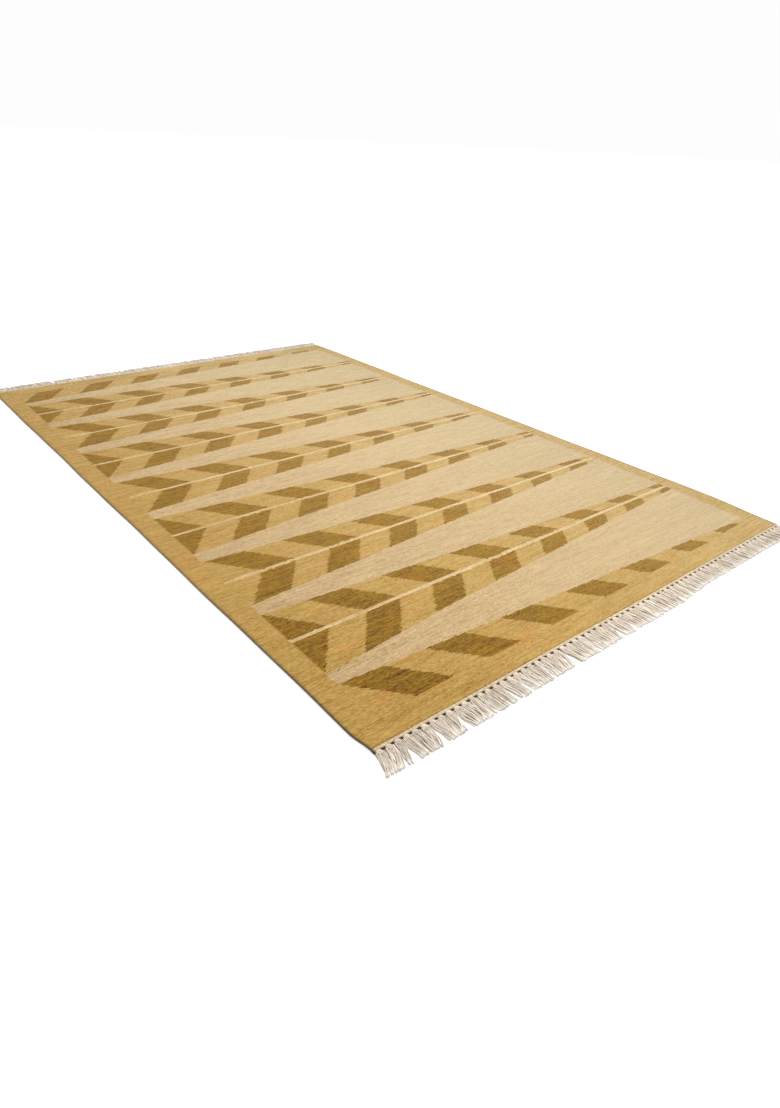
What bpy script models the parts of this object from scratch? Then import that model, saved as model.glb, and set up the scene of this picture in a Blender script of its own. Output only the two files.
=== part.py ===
"""Flat-woven dhurrie rug, lying flat, with a knotted fringe along both ends.

Metres, +Z up. X runs across the rug, Y runs along it, and the origin is on the floor under the
middle. The cloth is one solid. Each fringe is one solid too: a heading strip along the end of the
cloth, a row of knots on it, and two locks of yarn out of every knot.
"""

import math
from collections import namedtuple

import bmesh
import bpy

# Driving sizes of the woven cloth
RUG_WIDTH = 1.600
RUG_LENGTH = 2.500
CLOTH_THICKNESS = 0.005
SELVEDGE_MIDDLE = 0.0024
TOP_INSET = 0.0010
BOTTOM_INSET = 0.0014

# Driving sizes of the fringe
TASSELS = 72
PIECE_GAP = 0.0003
HEADING_INSET = 0.0006
NECK_SHARE = 0.68
SHOULDER = 0.30
FORK_GAP = 0.0005
LOCK_GAP = 0.0005
SETTLE_ROUNDS = 150
PITCH_DRIFT = 0.05
KNOT_UNEVENNESS = 0.0007
TASSEL_LEAN = 0.0030
SWAY_HEIGHT = 0.0035
SWAY_LENGTH = 0.23
SPLAY_DECAY = 0.045
PARTING_DECAY = 0.035
LOCK_DRIFT = 0.0010
LOCK_THINNING = 0.14
MIDDLE_BEND = 0.36
TRIM_UNEVENNESS = 0.0016

# How the cloth's grid is laid out
COLUMNS = 14
FAR_FROM_ENDS = 16
ROWS_NEAR_AN_END = (0.0, 0.012, 0.028, 0.045, 0.065, 0.085, 0.110, 0.145, 0.190, 0.240)

LEFT, RIGHT = -1, 1
NEAR, FAR = -1, 1

# Where the cloth's corners are drawn in, and over what length of the side
Corner = namedtuple("Corner", "side end draw_in length")
CORNERS = (
    Corner(LEFT, NEAR, 0.0070, 0.060),
    Corner(RIGHT, NEAR, 0.0180, 0.240),
    Corner(LEFT, FAR, 0.0025, 0.050),
    Corner(RIGHT, FAR, 0.0030, 0.050),
)

# Slow waves in the sides (along Y) and in the ends (along X)
Wave = namedtuple("Wave", "height length phase")
SIDE_WAVES = {
    LEFT: (Wave(0.0009, 0.71, 0.4), Wave(0.0004, 0.29, 2.1)),
    RIGHT: (Wave(0.0010, 0.83, 1.7), Wave(0.0005, 0.33, 0.2)),
}
END_WAVES = {
    NEAR: (Wave(0.0006, 0.62, 0.9),),
    FAR: (Wave(0.0008, 0.54, 2.6),),
}

# Slow swells in the cloth's top
Swell = namedtuple("Swell", "height across along phase")
SWELLS = (
    Swell(0.00018, 0.93, 0.74, 0.6),
    Swell(0.00012, -1.20, 0.41, 2.3),
)

# Heading strip, from the cloth outwards
StripPoint = namedtuple("StripPoint", "reach height")
STRIP_TOP = (
    StripPoint(0.0, 0.0040),
    StripPoint(0.0034, 0.0049),
    StripPoint(0.0070, 0.0038),
)

# Knot and locks, from the heading outwards. Fill is a share of the pitch of the tassels.
TasselSection = namedtuple("TasselSection", "reach fill height")
KNOT_CREST = TasselSection(0.0110, 0.79, 0.0056)
FORK = TasselSection(0.0160, 0.950, 0.0042)
MIDDLE = TasselSection(0.0420, 0.945, 0.0038)
TIP = TasselSection(0.0705, 0.86, 0.0028)

# Where the tassels' tips lie parted, and by how much
Parting = namedtuple("Parting", "x opening")
NEAR_PARTINGS = (
    Parting(-0.741, 0.0060),
    Parting(-0.661, 0.0050),
    Parting(-0.606, 0.0035),
    Parting(-0.432, 0.0040),
    Parting(-0.268, 0.0055),
    Parting(-0.035, 0.0035),
    Parting(0.214, 0.0045),
    Parting(0.492, 0.0040),
)
FAR_PARTINGS = (
    Parting(-0.520, 0.0045),
    Parting(-0.250, 0.0040),
    Parting(0.095, 0.0050),
    Parting(0.330, 0.0040),
    Parting(0.610, 0.0055),
)

# Each end of the rug: how far its outermost tassels splay past the corners, where its tassels
# part, and the channel of its own unevenness
End = namedtuple("End", "name sign channel splay_left splay_right partings")
ENDS = (
    End("near", NEAR, 1, 0.0125, 0.0080, NEAR_PARTINGS),
    End("far", FAR, 2, 0.0060, 0.0190, FAR_PARTINGS),
)

# What makes the values of scatter() uneven, and the channel that each feature reads
SCATTER_BY_INDEX = 12.9898
SCATTER_BY_CHANNEL = 78.233
SCATTER_SCALE = 43758.5453
LEAN_CHANNEL = 10
THINNING_CHANNEL = 20
DRIFT_CHANNEL = 30
TRIM_CHANNEL = 40
KNOT_CHANNEL = 50

# Materials: linear colour and roughness
Finish = namedtuple("Finish", "name colour roughness")
WOVEN_WOOL = Finish("woven_wool", (0.604, 0.366, 0.117, 1.0), 0.92)
COTTON_YARN = Finish("cotton_yarn", (0.760, 0.650, 0.510, 1.0), 0.95)


def clear_scene():
    """Remove every object that the scene starts with."""
    for obj in list(bpy.data.objects):
        bpy.data.objects.remove(obj, do_unlink=True)


def make_material(finish):
    """Return a Principled material for one finish."""
    material = bpy.data.materials.new(finish.name)
    material.use_nodes = True
    shader = material.node_tree.nodes["Principled BSDF"]
    shader.inputs["Base Color"].default_value = finish.colour
    shader.inputs["Roughness"].default_value = finish.roughness
    shader.inputs["Metallic"].default_value = 0.0
    return material


def scatter(index, channel):
    """Return an uneven value from -1 to 1 that depends only on its two numbers."""
    angle = index * SCATTER_BY_INDEX + channel * SCATTER_BY_CHANNEL
    return (math.sin(angle) * SCATTER_SCALE) % 1.0 * 2.0 - 1.0


def lerp(start, end, share):
    """Return the value that lies this share of the way from start to end."""
    return start + (end - start) * share


def ease(share):
    """Return the share of an S-shaped rise that is reached at this share of its run."""
    return share * share * (3.0 - 2.0 * share)


def wave_sum(waves, place):
    """Return the height of some slow waves at one place."""
    return sum(w.height * math.sin(math.tau * place / w.length + w.phase) for w in waves)


def side_line(y, side):
    """Return the x of one long edge at this y."""
    x = RUG_WIDTH / 2 + wave_sum(SIDE_WAVES[side], y)
    for corner in CORNERS:
        if corner.side == side:
            to_end = RUG_LENGTH / 2 - corner.end * y
            x -= corner.draw_in * ease(max(0.0, 1.0 - to_end / corner.length))
    return side * x


def cloth_spot(across, along):
    """Return the x, y of the cloth's outline grid, both shares running from 0 to 1."""
    y = lerp(-RUG_LENGTH / 2, RUG_LENGTH / 2, along)
    x = lerp(side_line(y, LEFT), side_line(y, RIGHT), across)
    near = -RUG_LENGTH / 2 - wave_sum(END_WAVES[NEAR], x)
    far = RUG_LENGTH / 2 + wave_sum(END_WAVES[FAR], x)
    return x, lerp(near, far, along)


def swell(x, y):
    """Return how far the cloth's top stands above its even thickness."""
    return sum(
        w.height * math.sin(math.tau * (x / w.across + y / w.along) + w.phase) for w in SWELLS
    )


def row_shares():
    """Return the shares of the length at which the cloth has a row of points."""
    margin = ROWS_NEAR_AN_END[-1]
    middle = [
        lerp(margin, RUG_LENGTH - margin, i / FAR_FROM_ENDS) for i in range(1, FAR_FROM_ENDS)
    ]
    far_end = [RUG_LENGTH - d for d in reversed(ROWS_NEAR_AN_END)]
    return [d / RUG_LENGTH for d in (*ROWS_NEAR_AN_END, *middle, *far_end)]


def rim_steps(rows, columns):
    """Return the grid places round the cloth's rim, in order."""
    last_row, last_column = rows - 1, columns - 1
    return (
        [(0, c) for c in range(last_column)]
        + [(r, last_column) for r in range(last_row)]
        + [(last_row, c) for c in range(last_column, 0, -1)]
        + [(r, 0) for r in range(last_row, 0, -1)]
    )


def add_sheet(bm, rows, inset, height):
    """Add one face of the cloth, drawn in by an inset, and return its points by row."""
    sheet = []
    for r, along in enumerate(rows):
        line = []
        for c in range(COLUMNS + 1):
            x, y = cloth_spot(c / COLUMNS, along)
            x += inset * ((c == 0) - (c == COLUMNS))
            y += inset * ((r == 0) - (r == len(rows) - 1))
            line.append(bm.verts.new((x, y, height(x, y))))
        sheet.append(line)
    for low, high in zip(sheet, sheet[1:]):
        for c in range(COLUMNS):
            bm.faces.new((low[c], low[c + 1], high[c + 1], high[c]))
    return sheet


def add_band(bm, first, second):
    """Join two closed rings of points with a band of faces."""
    for i in range(len(first)):
        j = (i + 1) % len(first)
        bm.faces.new((first[i], first[j], second[j], second[i]))


def finish_object(name, bm, material):
    """Turn a closed mesh into a named object, with its faces pointing out."""
    bmesh.ops.recalc_face_normals(bm, faces=bm.faces)
    mesh = bpy.data.meshes.new(name)
    bm.to_mesh(mesh)
    bm.free()
    mesh.materials.append(material)
    obj = bpy.data.objects.new(name, mesh)
    bpy.context.scene.collection.objects.link(obj)
    return obj


def build_cloth(material):
    """Build the woven cloth, with a rounded selvedge and a flat underside."""
    bm = bmesh.new()
    rows = row_shares()
    top = add_sheet(bm, rows, TOP_INSET, lambda x, y: CLOTH_THICKNESS + swell(x, y))
    bottom = add_sheet(bm, rows, BOTTOM_INSET, lambda x, y: 0.0)
    steps = rim_steps(len(rows), COLUMNS + 1)
    rim = [
        bm.verts.new((*cloth_spot(c / COLUMNS, rows[r]), SELVEDGE_MIDDLE)) for r, c in steps
    ]
    add_band(bm, [bottom[r][c] for r, c in steps], rim)
    add_band(bm, rim, [top[r][c] for r, c in steps])
    return finish_object("rug", bm, material)


def end_outline(end):
    """Return the points along one end of the cloth, from left to right."""
    along = 0.0 if end.sign == NEAR else 1.0
    return [cloth_spot(c / COLUMNS, along) for c in range(COLUMNS + 1)]


def outline_y(outline, x):
    """Return the y of an end's outline at this x."""
    for (x0, y0), (x1, y1) in zip(outline, outline[1:]):
        if x <= x1:
            return lerp(y0, y1, (x - x0) / (x1 - x0))
    return outline[-1][1]


def keep_apart(centres, widths):
    """Return the centres, moved sideways until neighbouring locks clear each other."""
    settled = list(centres)
    pairs = range(len(settled) - 1)
    needed = [(widths[i] + widths[i + 1]) / 2 + LOCK_GAP for i in pairs]
    for _ in range(SETTLE_ROUNDS):
        for i in pairs:
            short = max(0.0, needed[i] - (settled[i + 1] - settled[i]))
            settled[i] -= short / 2
            settled[i + 1] += short / 2
    for i in pairs:
        settled[i + 1] = max(settled[i + 1], settled[i] + needed[i])
    return settled


def tassel_lean(end, index, x, left, right):
    """Return how far one tassel's tip leans to the right."""
    lean = SWAY_HEIGHT * math.sin(math.tau * x / SWAY_LENGTH + end.channel)
    lean += TASSEL_LEAN * scatter(index, end.channel + LEAN_CHANNEL)
    lean += end.splay_right * math.exp((x - right) / SPLAY_DECAY)
    lean -= end.splay_left * math.exp((left - x) / SPLAY_DECAY)
    for parting in end.partings:
        away = x - parting.x
        lean += math.copysign(parting.opening, away) * math.exp(-abs(away) / PARTING_DECAY)
    return lean


def lay_out_locks(end, left, right):
    """Return the tassels' centres and the locks' (centre, width) at the fork, middle and tip."""
    pitch = (right - left) / TASSELS
    centres = [
        left + pitch * (k + 0.5 + PITCH_DRIFT * scatter(k, end.channel)) for k in range(TASSELS)
    ]
    rows = {}
    for section, bend in ((FORK, 0.0), (MIDDLE, MIDDLE_BEND), (TIP, 1.0)):
        wanted, widths = [], []
        for k, x in enumerate(centres):
            thinness = LOCK_THINNING * bend * (1.0 + scatter(k, end.channel + THINNING_CHANNEL)) / 2
            width = (pitch * section.fill * (1.0 - thinness) - FORK_GAP) / 2
            lean = bend * tassel_lean(end, k, x, left, right)
            for side in (LEFT, RIGHT):
                drift = bend * LOCK_DRIFT * scatter(2 * k + side, end.channel + DRIFT_CHANNEL)
                wanted.append(x + lean + drift + side * (width + FORK_GAP) / 2)
                widths.append(width)
        rows[section] = list(zip(keep_apart(wanted, widths), widths))
    return centres, pitch, rows


def add_section(bm, end, edge_y, centre, width, reach, height):
    """Add the four points of an upright section, and return them in order round it."""
    y = edge_y + end.sign * (PIECE_GAP + reach)
    low, high = centre - width / 2, centre + width / 2
    narrow = SHOULDER * height
    return [
        bm.verts.new((low, y, 0.0)),
        bm.verts.new((high, y, 0.0)),
        bm.verts.new((high - narrow, y, height)),
        bm.verts.new((low + narrow, y, height)),
    ]


def add_lock(bm, end, edge_y, index, root, rows):
    """Extend one lock from its root face to its cut tip."""
    ring = root
    for section in (MIDDLE, TIP):
        centre, width = rows[section][index]
        trim = 0.0
        if section is TIP:
            trim = TRIM_UNEVENNESS * scatter(index, end.channel + TRIM_CHANNEL)
        following = add_section(
            bm, end, edge_y, centre, width, section.reach + trim, section.height
        )
        add_band(bm, ring, following)
        ring = following
    bm.faces.new(ring)


def add_tassel(bm, end, edge_y, k, neck, centre, pitch, rows):
    """Add one knot on the heading and the two locks that come out of it."""
    uneven = KNOT_UNEVENNESS * scatter(k, end.channel + KNOT_CHANNEL)
    crest = add_section(
        bm,
        end,
        edge_y,
        centre,
        pitch * KNOT_CREST.fill + uneven,
        KNOT_CREST.reach + uneven,
        KNOT_CREST.height + uneven,
    )
    add_band(bm, neck, crest)
    locks = [
        add_section(bm, end, edge_y, *rows[FORK][2 * k + i], FORK.reach, FORK.height)
        for i in (0, 1)
    ]
    (a0, a1, a2, a3), (b0, b1, b2, b3) = locks
    c0, c1, c2, c3 = crest
    bm.faces.new((c0, c1, b1, b0, a1, a0))
    bm.faces.new((c3, a3, a2, b3, b2, c2))
    bm.faces.new((c0, a0, a3, c3))
    bm.faces.new((c1, c2, b2, b1))
    bm.faces.new((a1, b0, b3, a2))
    for i, root in enumerate(locks):
        add_lock(bm, end, edge_y, 2 * k + i, root, rows)


def add_station(bm, end, outline, x):
    """Add the points of the heading strip at one place along it."""
    y = outline_y(outline, x) + end.sign * PIECE_GAP
    inner, outer = STRIP_TOP[0], STRIP_TOP[-1]
    top = [bm.verts.new((x, y + end.sign * p.reach, p.height)) for p in STRIP_TOP]
    return [
        bm.verts.new((x, y + end.sign * inner.reach, 0.0)),
        *top,
        bm.verts.new((x, y + end.sign * outer.reach, 0.0)),
    ]


def build_fringe(end, material):
    """Build the heading strip of one end, with its knots and locks."""
    bm = bmesh.new()
    outline = end_outline(end)
    left = outline[0][0] + HEADING_INSET
    right = outline[-1][0] - HEADING_INSET
    centres, pitch, rows = lay_out_locks(end, left, right)
    neck_half = pitch * NECK_SHARE / 2
    places = [left, *(c + s * neck_half for c in centres for s in (LEFT, RIGHT)), right]
    stations = [add_station(bm, end, outline, x) for x in places]
    last = len(stations[0]) - 1
    for i, (here, there) in enumerate(zip(stations, stations[1:])):
        is_neck = i % 2 == 1
        for p in range(last + 1):
            q = (p + 1) % (last + 1)
            if not (is_neck and p == last - 1):
                bm.faces.new((here[p], there[p], there[q], here[q]))
        if is_neck:
            k = i // 2
            edge_y = outline_y(outline, centres[k])
            neck = [here[last], there[last], there[last - 1], here[last - 1]]
            add_tassel(bm, end, edge_y, k, neck, centres[k], pitch, rows)
    bm.faces.new(stations[0])
    bm.faces.new(stations[-1])
    return finish_object(f"fringe_{end.name}", bm, material)


def main():
    """Build the cloth and its two fringes."""
    clear_scene()
    build_cloth(make_material(WOVEN_WOOL))
    cotton = make_material(COTTON_YARN)
    for end in ENDS:
        build_fringe(end, cotton)


main()
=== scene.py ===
"""Looks of the flat-woven dhurrie rug: its wool cloth, its cotton fringes and a plain studio.

Metres, +Z up. X runs across the rug, along the weft. Y runs along it, with the warp. The origin is
on the floor under the middle. The layout of the cloth and of the fringes repeats the part's own.
"""

import logging
import math
from collections.abc import Sequence
from dataclasses import dataclass, field
from enum import Enum, IntEnum

import bpy
import numpy as np
from mathutils import Matrix, Vector


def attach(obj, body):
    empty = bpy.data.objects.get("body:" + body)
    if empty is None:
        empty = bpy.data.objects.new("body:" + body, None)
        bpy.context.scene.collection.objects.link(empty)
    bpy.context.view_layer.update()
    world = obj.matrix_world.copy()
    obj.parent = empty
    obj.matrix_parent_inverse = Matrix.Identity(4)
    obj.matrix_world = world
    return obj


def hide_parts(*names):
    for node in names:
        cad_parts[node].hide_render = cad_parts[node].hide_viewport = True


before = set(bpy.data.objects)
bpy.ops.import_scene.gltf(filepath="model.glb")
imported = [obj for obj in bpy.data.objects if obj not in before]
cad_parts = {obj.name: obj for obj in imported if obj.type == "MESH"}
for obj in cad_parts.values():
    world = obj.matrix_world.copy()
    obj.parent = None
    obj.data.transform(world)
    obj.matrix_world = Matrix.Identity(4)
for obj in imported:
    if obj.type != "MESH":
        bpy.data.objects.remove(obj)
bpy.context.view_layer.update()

LOG = logging.getLogger("dhurrie")
BODY = "root"
BAKE_MAP = "OFBake"
PLY_MAP = "ply_run"
TONE = "tone"
HOLLOW = "hollow"
FRAYED = "frayed"
SELVEDGE = "selvedge"
# Point value that the finishes paint as shade: down the cloth's rim, and at the heading's left end.
RIM = "rim"
SCATTER_STEP = 12.9898
CHANNEL_STEP = 78.233
SCATTER_SPREAD = 43758.5453
MIX_COLOURS = (6, 7)
MIX_RESULT = 2

Rise = tuple[float, float]
Spot = tuple[float, float, float]


class Side(Enum):
    """A long side of the rug, as the sign of its x."""

    LEFT = -1
    RIGHT = 1


class RugEnd(Enum):
    """A short end of the rug, as the sign of its y."""

    NEAR = -1
    FAR = 1


class MaterialSlot(Enum):
    """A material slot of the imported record."""

    WOOL = "woven_wool"
    COTTON = "cotton_yarn"


class Colour(Enum):
    """A colour in linear light: of a yarn, a dye that tints it, a painted shade or sheen, or the
    floor.
    """

    GOLD = (0.480, 0.287, 0.072)
    OLIVE = (0.281, 0.143, 0.004)
    CREAM = (0.543, 0.377, 0.184)
    RIB = (0.625, 0.440, 0.215)
    EDGE_TAN = (0.210, 0.152, 0.078)
    EDGE_BROWN = (0.075, 0.050, 0.030)
    COTTON = (0.880, 0.780, 0.650)
    COTTON_SHADE = (0.300, 0.180, 0.070)
    HEADING = (0.820, 0.680, 0.475)
    KNOT = (0.800, 0.695, 0.560)
    COTTON_TIP = (0.950, 0.935, 0.905)
    BINDING = (0.075, 0.040, 0.024)
    FADED = (0.500, 0.550, 0.420)
    RUST_TINT = (1.120, 0.930, 0.780)
    MOSS_TINT = (0.900, 1.020, 0.700)
    FLOOR = (0.900, 0.900, 0.900)


class Trait(IntEnum):
    """A trait that differs from one pick, tassel or yarn to the next, as its channel."""

    PITCH = 0
    TIP_LEAN = 10
    LOCK_THINNESS = 20
    LOCK_DRIFT = 30
    LOCK_TRIM = 40
    KNOT_SIZE = 50
    WRAP_LEAN = 51
    WRAP_PHASE = 52
    KNOT_TONE = 53
    PICK_SLOW_WAVE = 61
    PICK_QUICK_WAVE = 62
    PICK_LEVEL = 64
    CORD_CREST = 71
    CORD_TONE = 72
    LOCK_GATHER = 80
    YARN_TRIM = 81
    YARN_SIDE = 82
    BUNCH_WAVES = 83
    BUNCH_PHASE = 84
    BUNCH_RIPPLE = 85
    BUNCH_STRAYS = 86
    STRAY_SIDE = 87
    YARN_RIPPLE = 88
    YARN_THICKNESS = 91
    YARN_TONE = 92
    BUNCH_TONE = 93
    BUNCH_TAN = 94


def scatter(index: np.ndarray | float, channel: float) -> np.ndarray:
    """Give uneven values from -1 to 1 that depend only on an index and a channel."""
    angle = np.asarray(index, float) * SCATTER_STEP + channel * CHANNEL_STEP
    return (np.sin(angle) * SCATTER_SPREAD) % 1.0 * 2.0 - 1.0


def ease(share: np.ndarray) -> np.ndarray:
    """Bend a straight rise from 0 to 1 into an S that stays level outside it."""
    share = np.clip(share, 0.0, 1.0)
    return share * share * (3.0 - 2.0 * share)


@dataclass(frozen=True)
class Wave:
    """A slow sine wave in an edge."""

    height: float
    length: float
    phase: float

    def at(self, place: np.ndarray) -> np.ndarray:
        """Give the wave's height at these places."""
        return self.height * np.sin(math.tau * place / self.length + self.phase)


@dataclass(frozen=True)
class Corner:
    """How far a corner of the cloth is drawn in, and over what length of the side."""

    side: Side
    end: RugEnd
    draw_in: float
    length: float


@dataclass(frozen=True)
class Swell:
    """A slow swell of the cloth's top."""

    height: float
    across: float
    along: float
    phase: float

    def at(self, x: np.ndarray, y: np.ndarray) -> np.ndarray:
        """Give the swell's height at these places."""
        return self.height * np.sin(math.tau * (x / self.across + y / self.along) + self.phase)


@dataclass(frozen=True)
class ClothOutline:
    """The outline of the woven cloth, and its slow unevenness."""

    width: float = 1.600
    length: float = 2.500
    end_wave_reach: float = 0.100
    corners: tuple[Corner, ...] = (
        Corner(Side.LEFT, RugEnd.NEAR, 0.0070, 0.060),
        Corner(Side.RIGHT, RugEnd.NEAR, 0.0180, 0.240),
        Corner(Side.LEFT, RugEnd.FAR, 0.0025, 0.050),
        Corner(Side.RIGHT, RugEnd.FAR, 0.0030, 0.050),
    )
    left_waves: tuple[Wave, ...] = (Wave(0.0009, 0.71, 0.4), Wave(0.0004, 0.29, 2.1))
    right_waves: tuple[Wave, ...] = (Wave(0.0010, 0.83, 1.7), Wave(0.0005, 0.33, 0.2))
    near_wave: Wave = Wave(0.0006, 0.62, 0.9)
    far_wave: Wave = Wave(0.0008, 0.54, 2.6)
    swells: tuple[Swell, ...] = (
        Swell(0.00018, 0.93, 0.74, 0.6),
        Swell(0.00012, -1.20, 0.41, 2.3),
    )

    def side_line(self, y: np.ndarray | float, side: Side) -> np.ndarray:
        """Trace one long edge.

        Args:
            y: Places along the rug.
            side: The edge to trace.

        Returns:
            The x of the edge at each place.
        """
        y = np.asarray(y, float)
        waves = self.left_waves if side is Side.LEFT else self.right_waves
        x = self.width / 2 + sum(wave.at(y) for wave in waves)
        for corner in self.corners:
            if corner.side is side:
                to_end = self.length / 2 - corner.end.value * y
                x = x - corner.draw_in * ease(1.0 - to_end / corner.length)
        return side.value * x

    def end_line(self, x: np.ndarray, end: RugEnd) -> np.ndarray:
        """Give how far one short edge is from the middle of the rug, at each x."""
        wave = self.near_wave if end is RugEnd.NEAR else self.far_wave
        return self.length / 2 + wave.at(x)

    def corner_xs(self, end: RugEnd) -> tuple[float, float]:
        """Give the x of the cloth's left and right corner at one end."""
        y = end.value * self.length / 2
        return float(self.side_line(y, Side.LEFT)), float(self.side_line(y, Side.RIGHT))

    def spots(self, across: np.ndarray, y: np.ndarray) -> tuple[np.ndarray, np.ndarray]:
        """Place points of an even grid inside the outline.

        Args:
            across: Shares of the width, from left to right.
            y: Places along an even rug.

        Returns:
            The x and the y of each point.
        """
        left, right = self.side_line(y, Side.LEFT), self.side_line(y, Side.RIGHT)
        x = left + (right - left) * across
        bent = np.array(y, float)
        for end in RugEnd:
            push = self.end_line(x, end) - self.length / 2
            to_end = self.length / 2 - end.value * y
            bent = bent + end.value * push * ease(1.0 - to_end / self.end_wave_reach)
        return x, bent

    def swell(self, x: np.ndarray, y: np.ndarray) -> np.ndarray:
        """Give how far the cloth's top stands above its even thickness."""
        return sum(swell.at(x, y) for swell in self.swells)


class MeshDraft:
    """The points, faces and point values of one piece while it is built."""

    def __init__(self, name: str) -> None:
        """Start an empty piece.

        Args:
            name: The piece's name.
        """
        self.name = name
        self.points: list[np.ndarray] = []
        self.faces: list[list[int]] = []
        self.values: dict[str, list[np.ndarray]] = {}
        self.count = 0

    def add_points(self, points: np.ndarray, **values: np.ndarray | float) -> int:
        """Add points, and named values for each of them.

        Args:
            points: Their places, with x, y and z on the last axis.
            values: A number for each point or for many alike, under the attribute's name.

        Returns:
            The index of the first of them.
        """
        first = self.count
        self.points.append(points.reshape(-1, 3))
        for name, numbers in values.items():
            spread = np.broadcast_to(numbers, points.shape[:-1]).ravel()
            self.values.setdefault(name, []).append(spread)
        self.count += len(self.points[-1])
        return first

    def add_faces(self, faces: np.ndarray | Sequence[Sequence[int]]) -> None:
        """Add faces, each as the indices of its points."""
        self.faces.extend(faces.tolist() if isinstance(faces, np.ndarray) else faces)

    def build(self, material: bpy.types.Material) -> bpy.types.Object:
        """Make the object, smooth shaded and linked to the scene.

        Args:
            material: The piece's finish.

        Returns:
            The new object.
        """
        mesh = bpy.data.meshes.new(self.name)
        mesh.from_pydata(np.concatenate(self.points).tolist(), [], self.faces)
        for name, numbers in self.values.items():
            attribute = mesh.attributes.new(name, "FLOAT", "POINT")
            attribute.data.foreach_set("value", np.concatenate(numbers).astype(np.float32))
        mesh.polygons.foreach_set("use_smooth", np.ones(len(mesh.polygons), bool))
        mesh.materials.append(material)
        mesh.update()
        piece = bpy.data.objects.new(self.name, mesh)
        bpy.context.scene.collection.objects.link(piece)
        return piece


def grid_faces(rows: int, columns: int, first: int = 0, is_ring: bool = False) -> np.ndarray:
    """Number the faces of a grid of points.

    Args:
        rows: Rows of points.
        columns: Points in a row.
        first: Index of the grid's first point.
        is_ring: Whether each row closes on itself.

    Returns:
        The corners of each face, counter-clockwise for columns along +X and rows along +Y.
    """
    spans = columns if is_ring else columns - 1
    row = np.arange(rows - 1)[:, None] * columns
    here, there = np.arange(spans)[None, :], (np.arange(spans)[None, :] + 1) % columns
    low_here, low_there = row + here, row + there
    corners = (low_here, low_there, low_there + columns, low_here + columns)
    return first + np.stack(corners, axis=-1).reshape(-1, 4)


def tie(piece: bpy.types.Object, node: str, slot: MaterialSlot) -> None:
    """Tie a piece to the frame, and report it.

    Args:
        piece: The piece.
        node: The node of the part that it takes the place of.
        slot: Not used.
    """
    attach(piece, BODY)
    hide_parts(node)
    LOG.info("%s: %d faces", piece.name, len(piece.data.polygons))


def add_map(piece: bpy.types.Object, name: str, places: np.ndarray) -> None:
    """Give a piece a UV map, with a place for each corner of each face in order."""
    layer = piece.data.uv_layers.new(name=name, do_init=False)
    layer.uv.foreach_set("vector", places.astype(np.float32).ravel())


class Signal:
    """A value that runs through a finish's nodes, written in sums like a number."""

    def __init__(self, nodes: "FinishNodes", socket: bpy.types.NodeSocket) -> None:
        """Hold the finish's nodes and the output socket that the value leaves by."""
        self.nodes = nodes
        self.socket = socket

    def __add__(self, other: "Signal | float") -> "Signal":
        """Add."""
        return self.nodes.math("ADD", self, other)

    def __sub__(self, other: "Signal | float") -> "Signal":
        """Subtract."""
        return self.nodes.math("SUBTRACT", self, other)

    def __rsub__(self, other: float) -> "Signal":
        """Subtract from a number."""
        return self.nodes.math("SUBTRACT", other, self)

    def __mul__(self, other: "Signal | float") -> "Signal":
        """Multiply."""
        return self.nodes.math("MULTIPLY", self, other)

    def __truediv__(self, other: "Signal | float") -> "Signal":
        """Divide."""
        return self.nodes.math("DIVIDE", self, other)

    def __lt__(self, other: "Signal | float") -> "Signal":
        """Give 1 where the value is smaller, otherwise 0."""
        return self.nodes.math("LESS_THAN", self, other)

    def __gt__(self, other: "Signal | float") -> "Signal":
        """Give 1 where the value is greater, otherwise 0."""
        return self.nodes.math("GREATER_THAN", self, other)

    def __neg__(self) -> "Signal":
        """Turn the sign round."""
        return self.nodes.math("SUBTRACT", 0.0, self)

    def __abs__(self) -> "Signal":
        """Give the value without its sign."""
        return self.nodes.math("ABSOLUTE", self)

    __radd__ = __add__
    __rmul__ = __mul__

    def floor(self) -> "Signal":
        """Round down to a whole number."""
        return self.nodes.math("FLOOR", self)

    def fract(self) -> "Signal":
        """Give what is left over a whole number."""
        return self.nodes.math("FRACT", self)

    def sine(self) -> "Signal":
        """Give the sine of so many radians."""
        return self.nodes.math("SINE", self)

    def cosine(self) -> "Signal":
        """Give the cosine of so many radians."""
        return self.nodes.math("COSINE", self)

    def ramp(self, rise: Rise) -> "Signal":
        """Rise smoothly from 0 at one value to 1 at another."""
        return self.nodes.ramp(self, rise)


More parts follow.
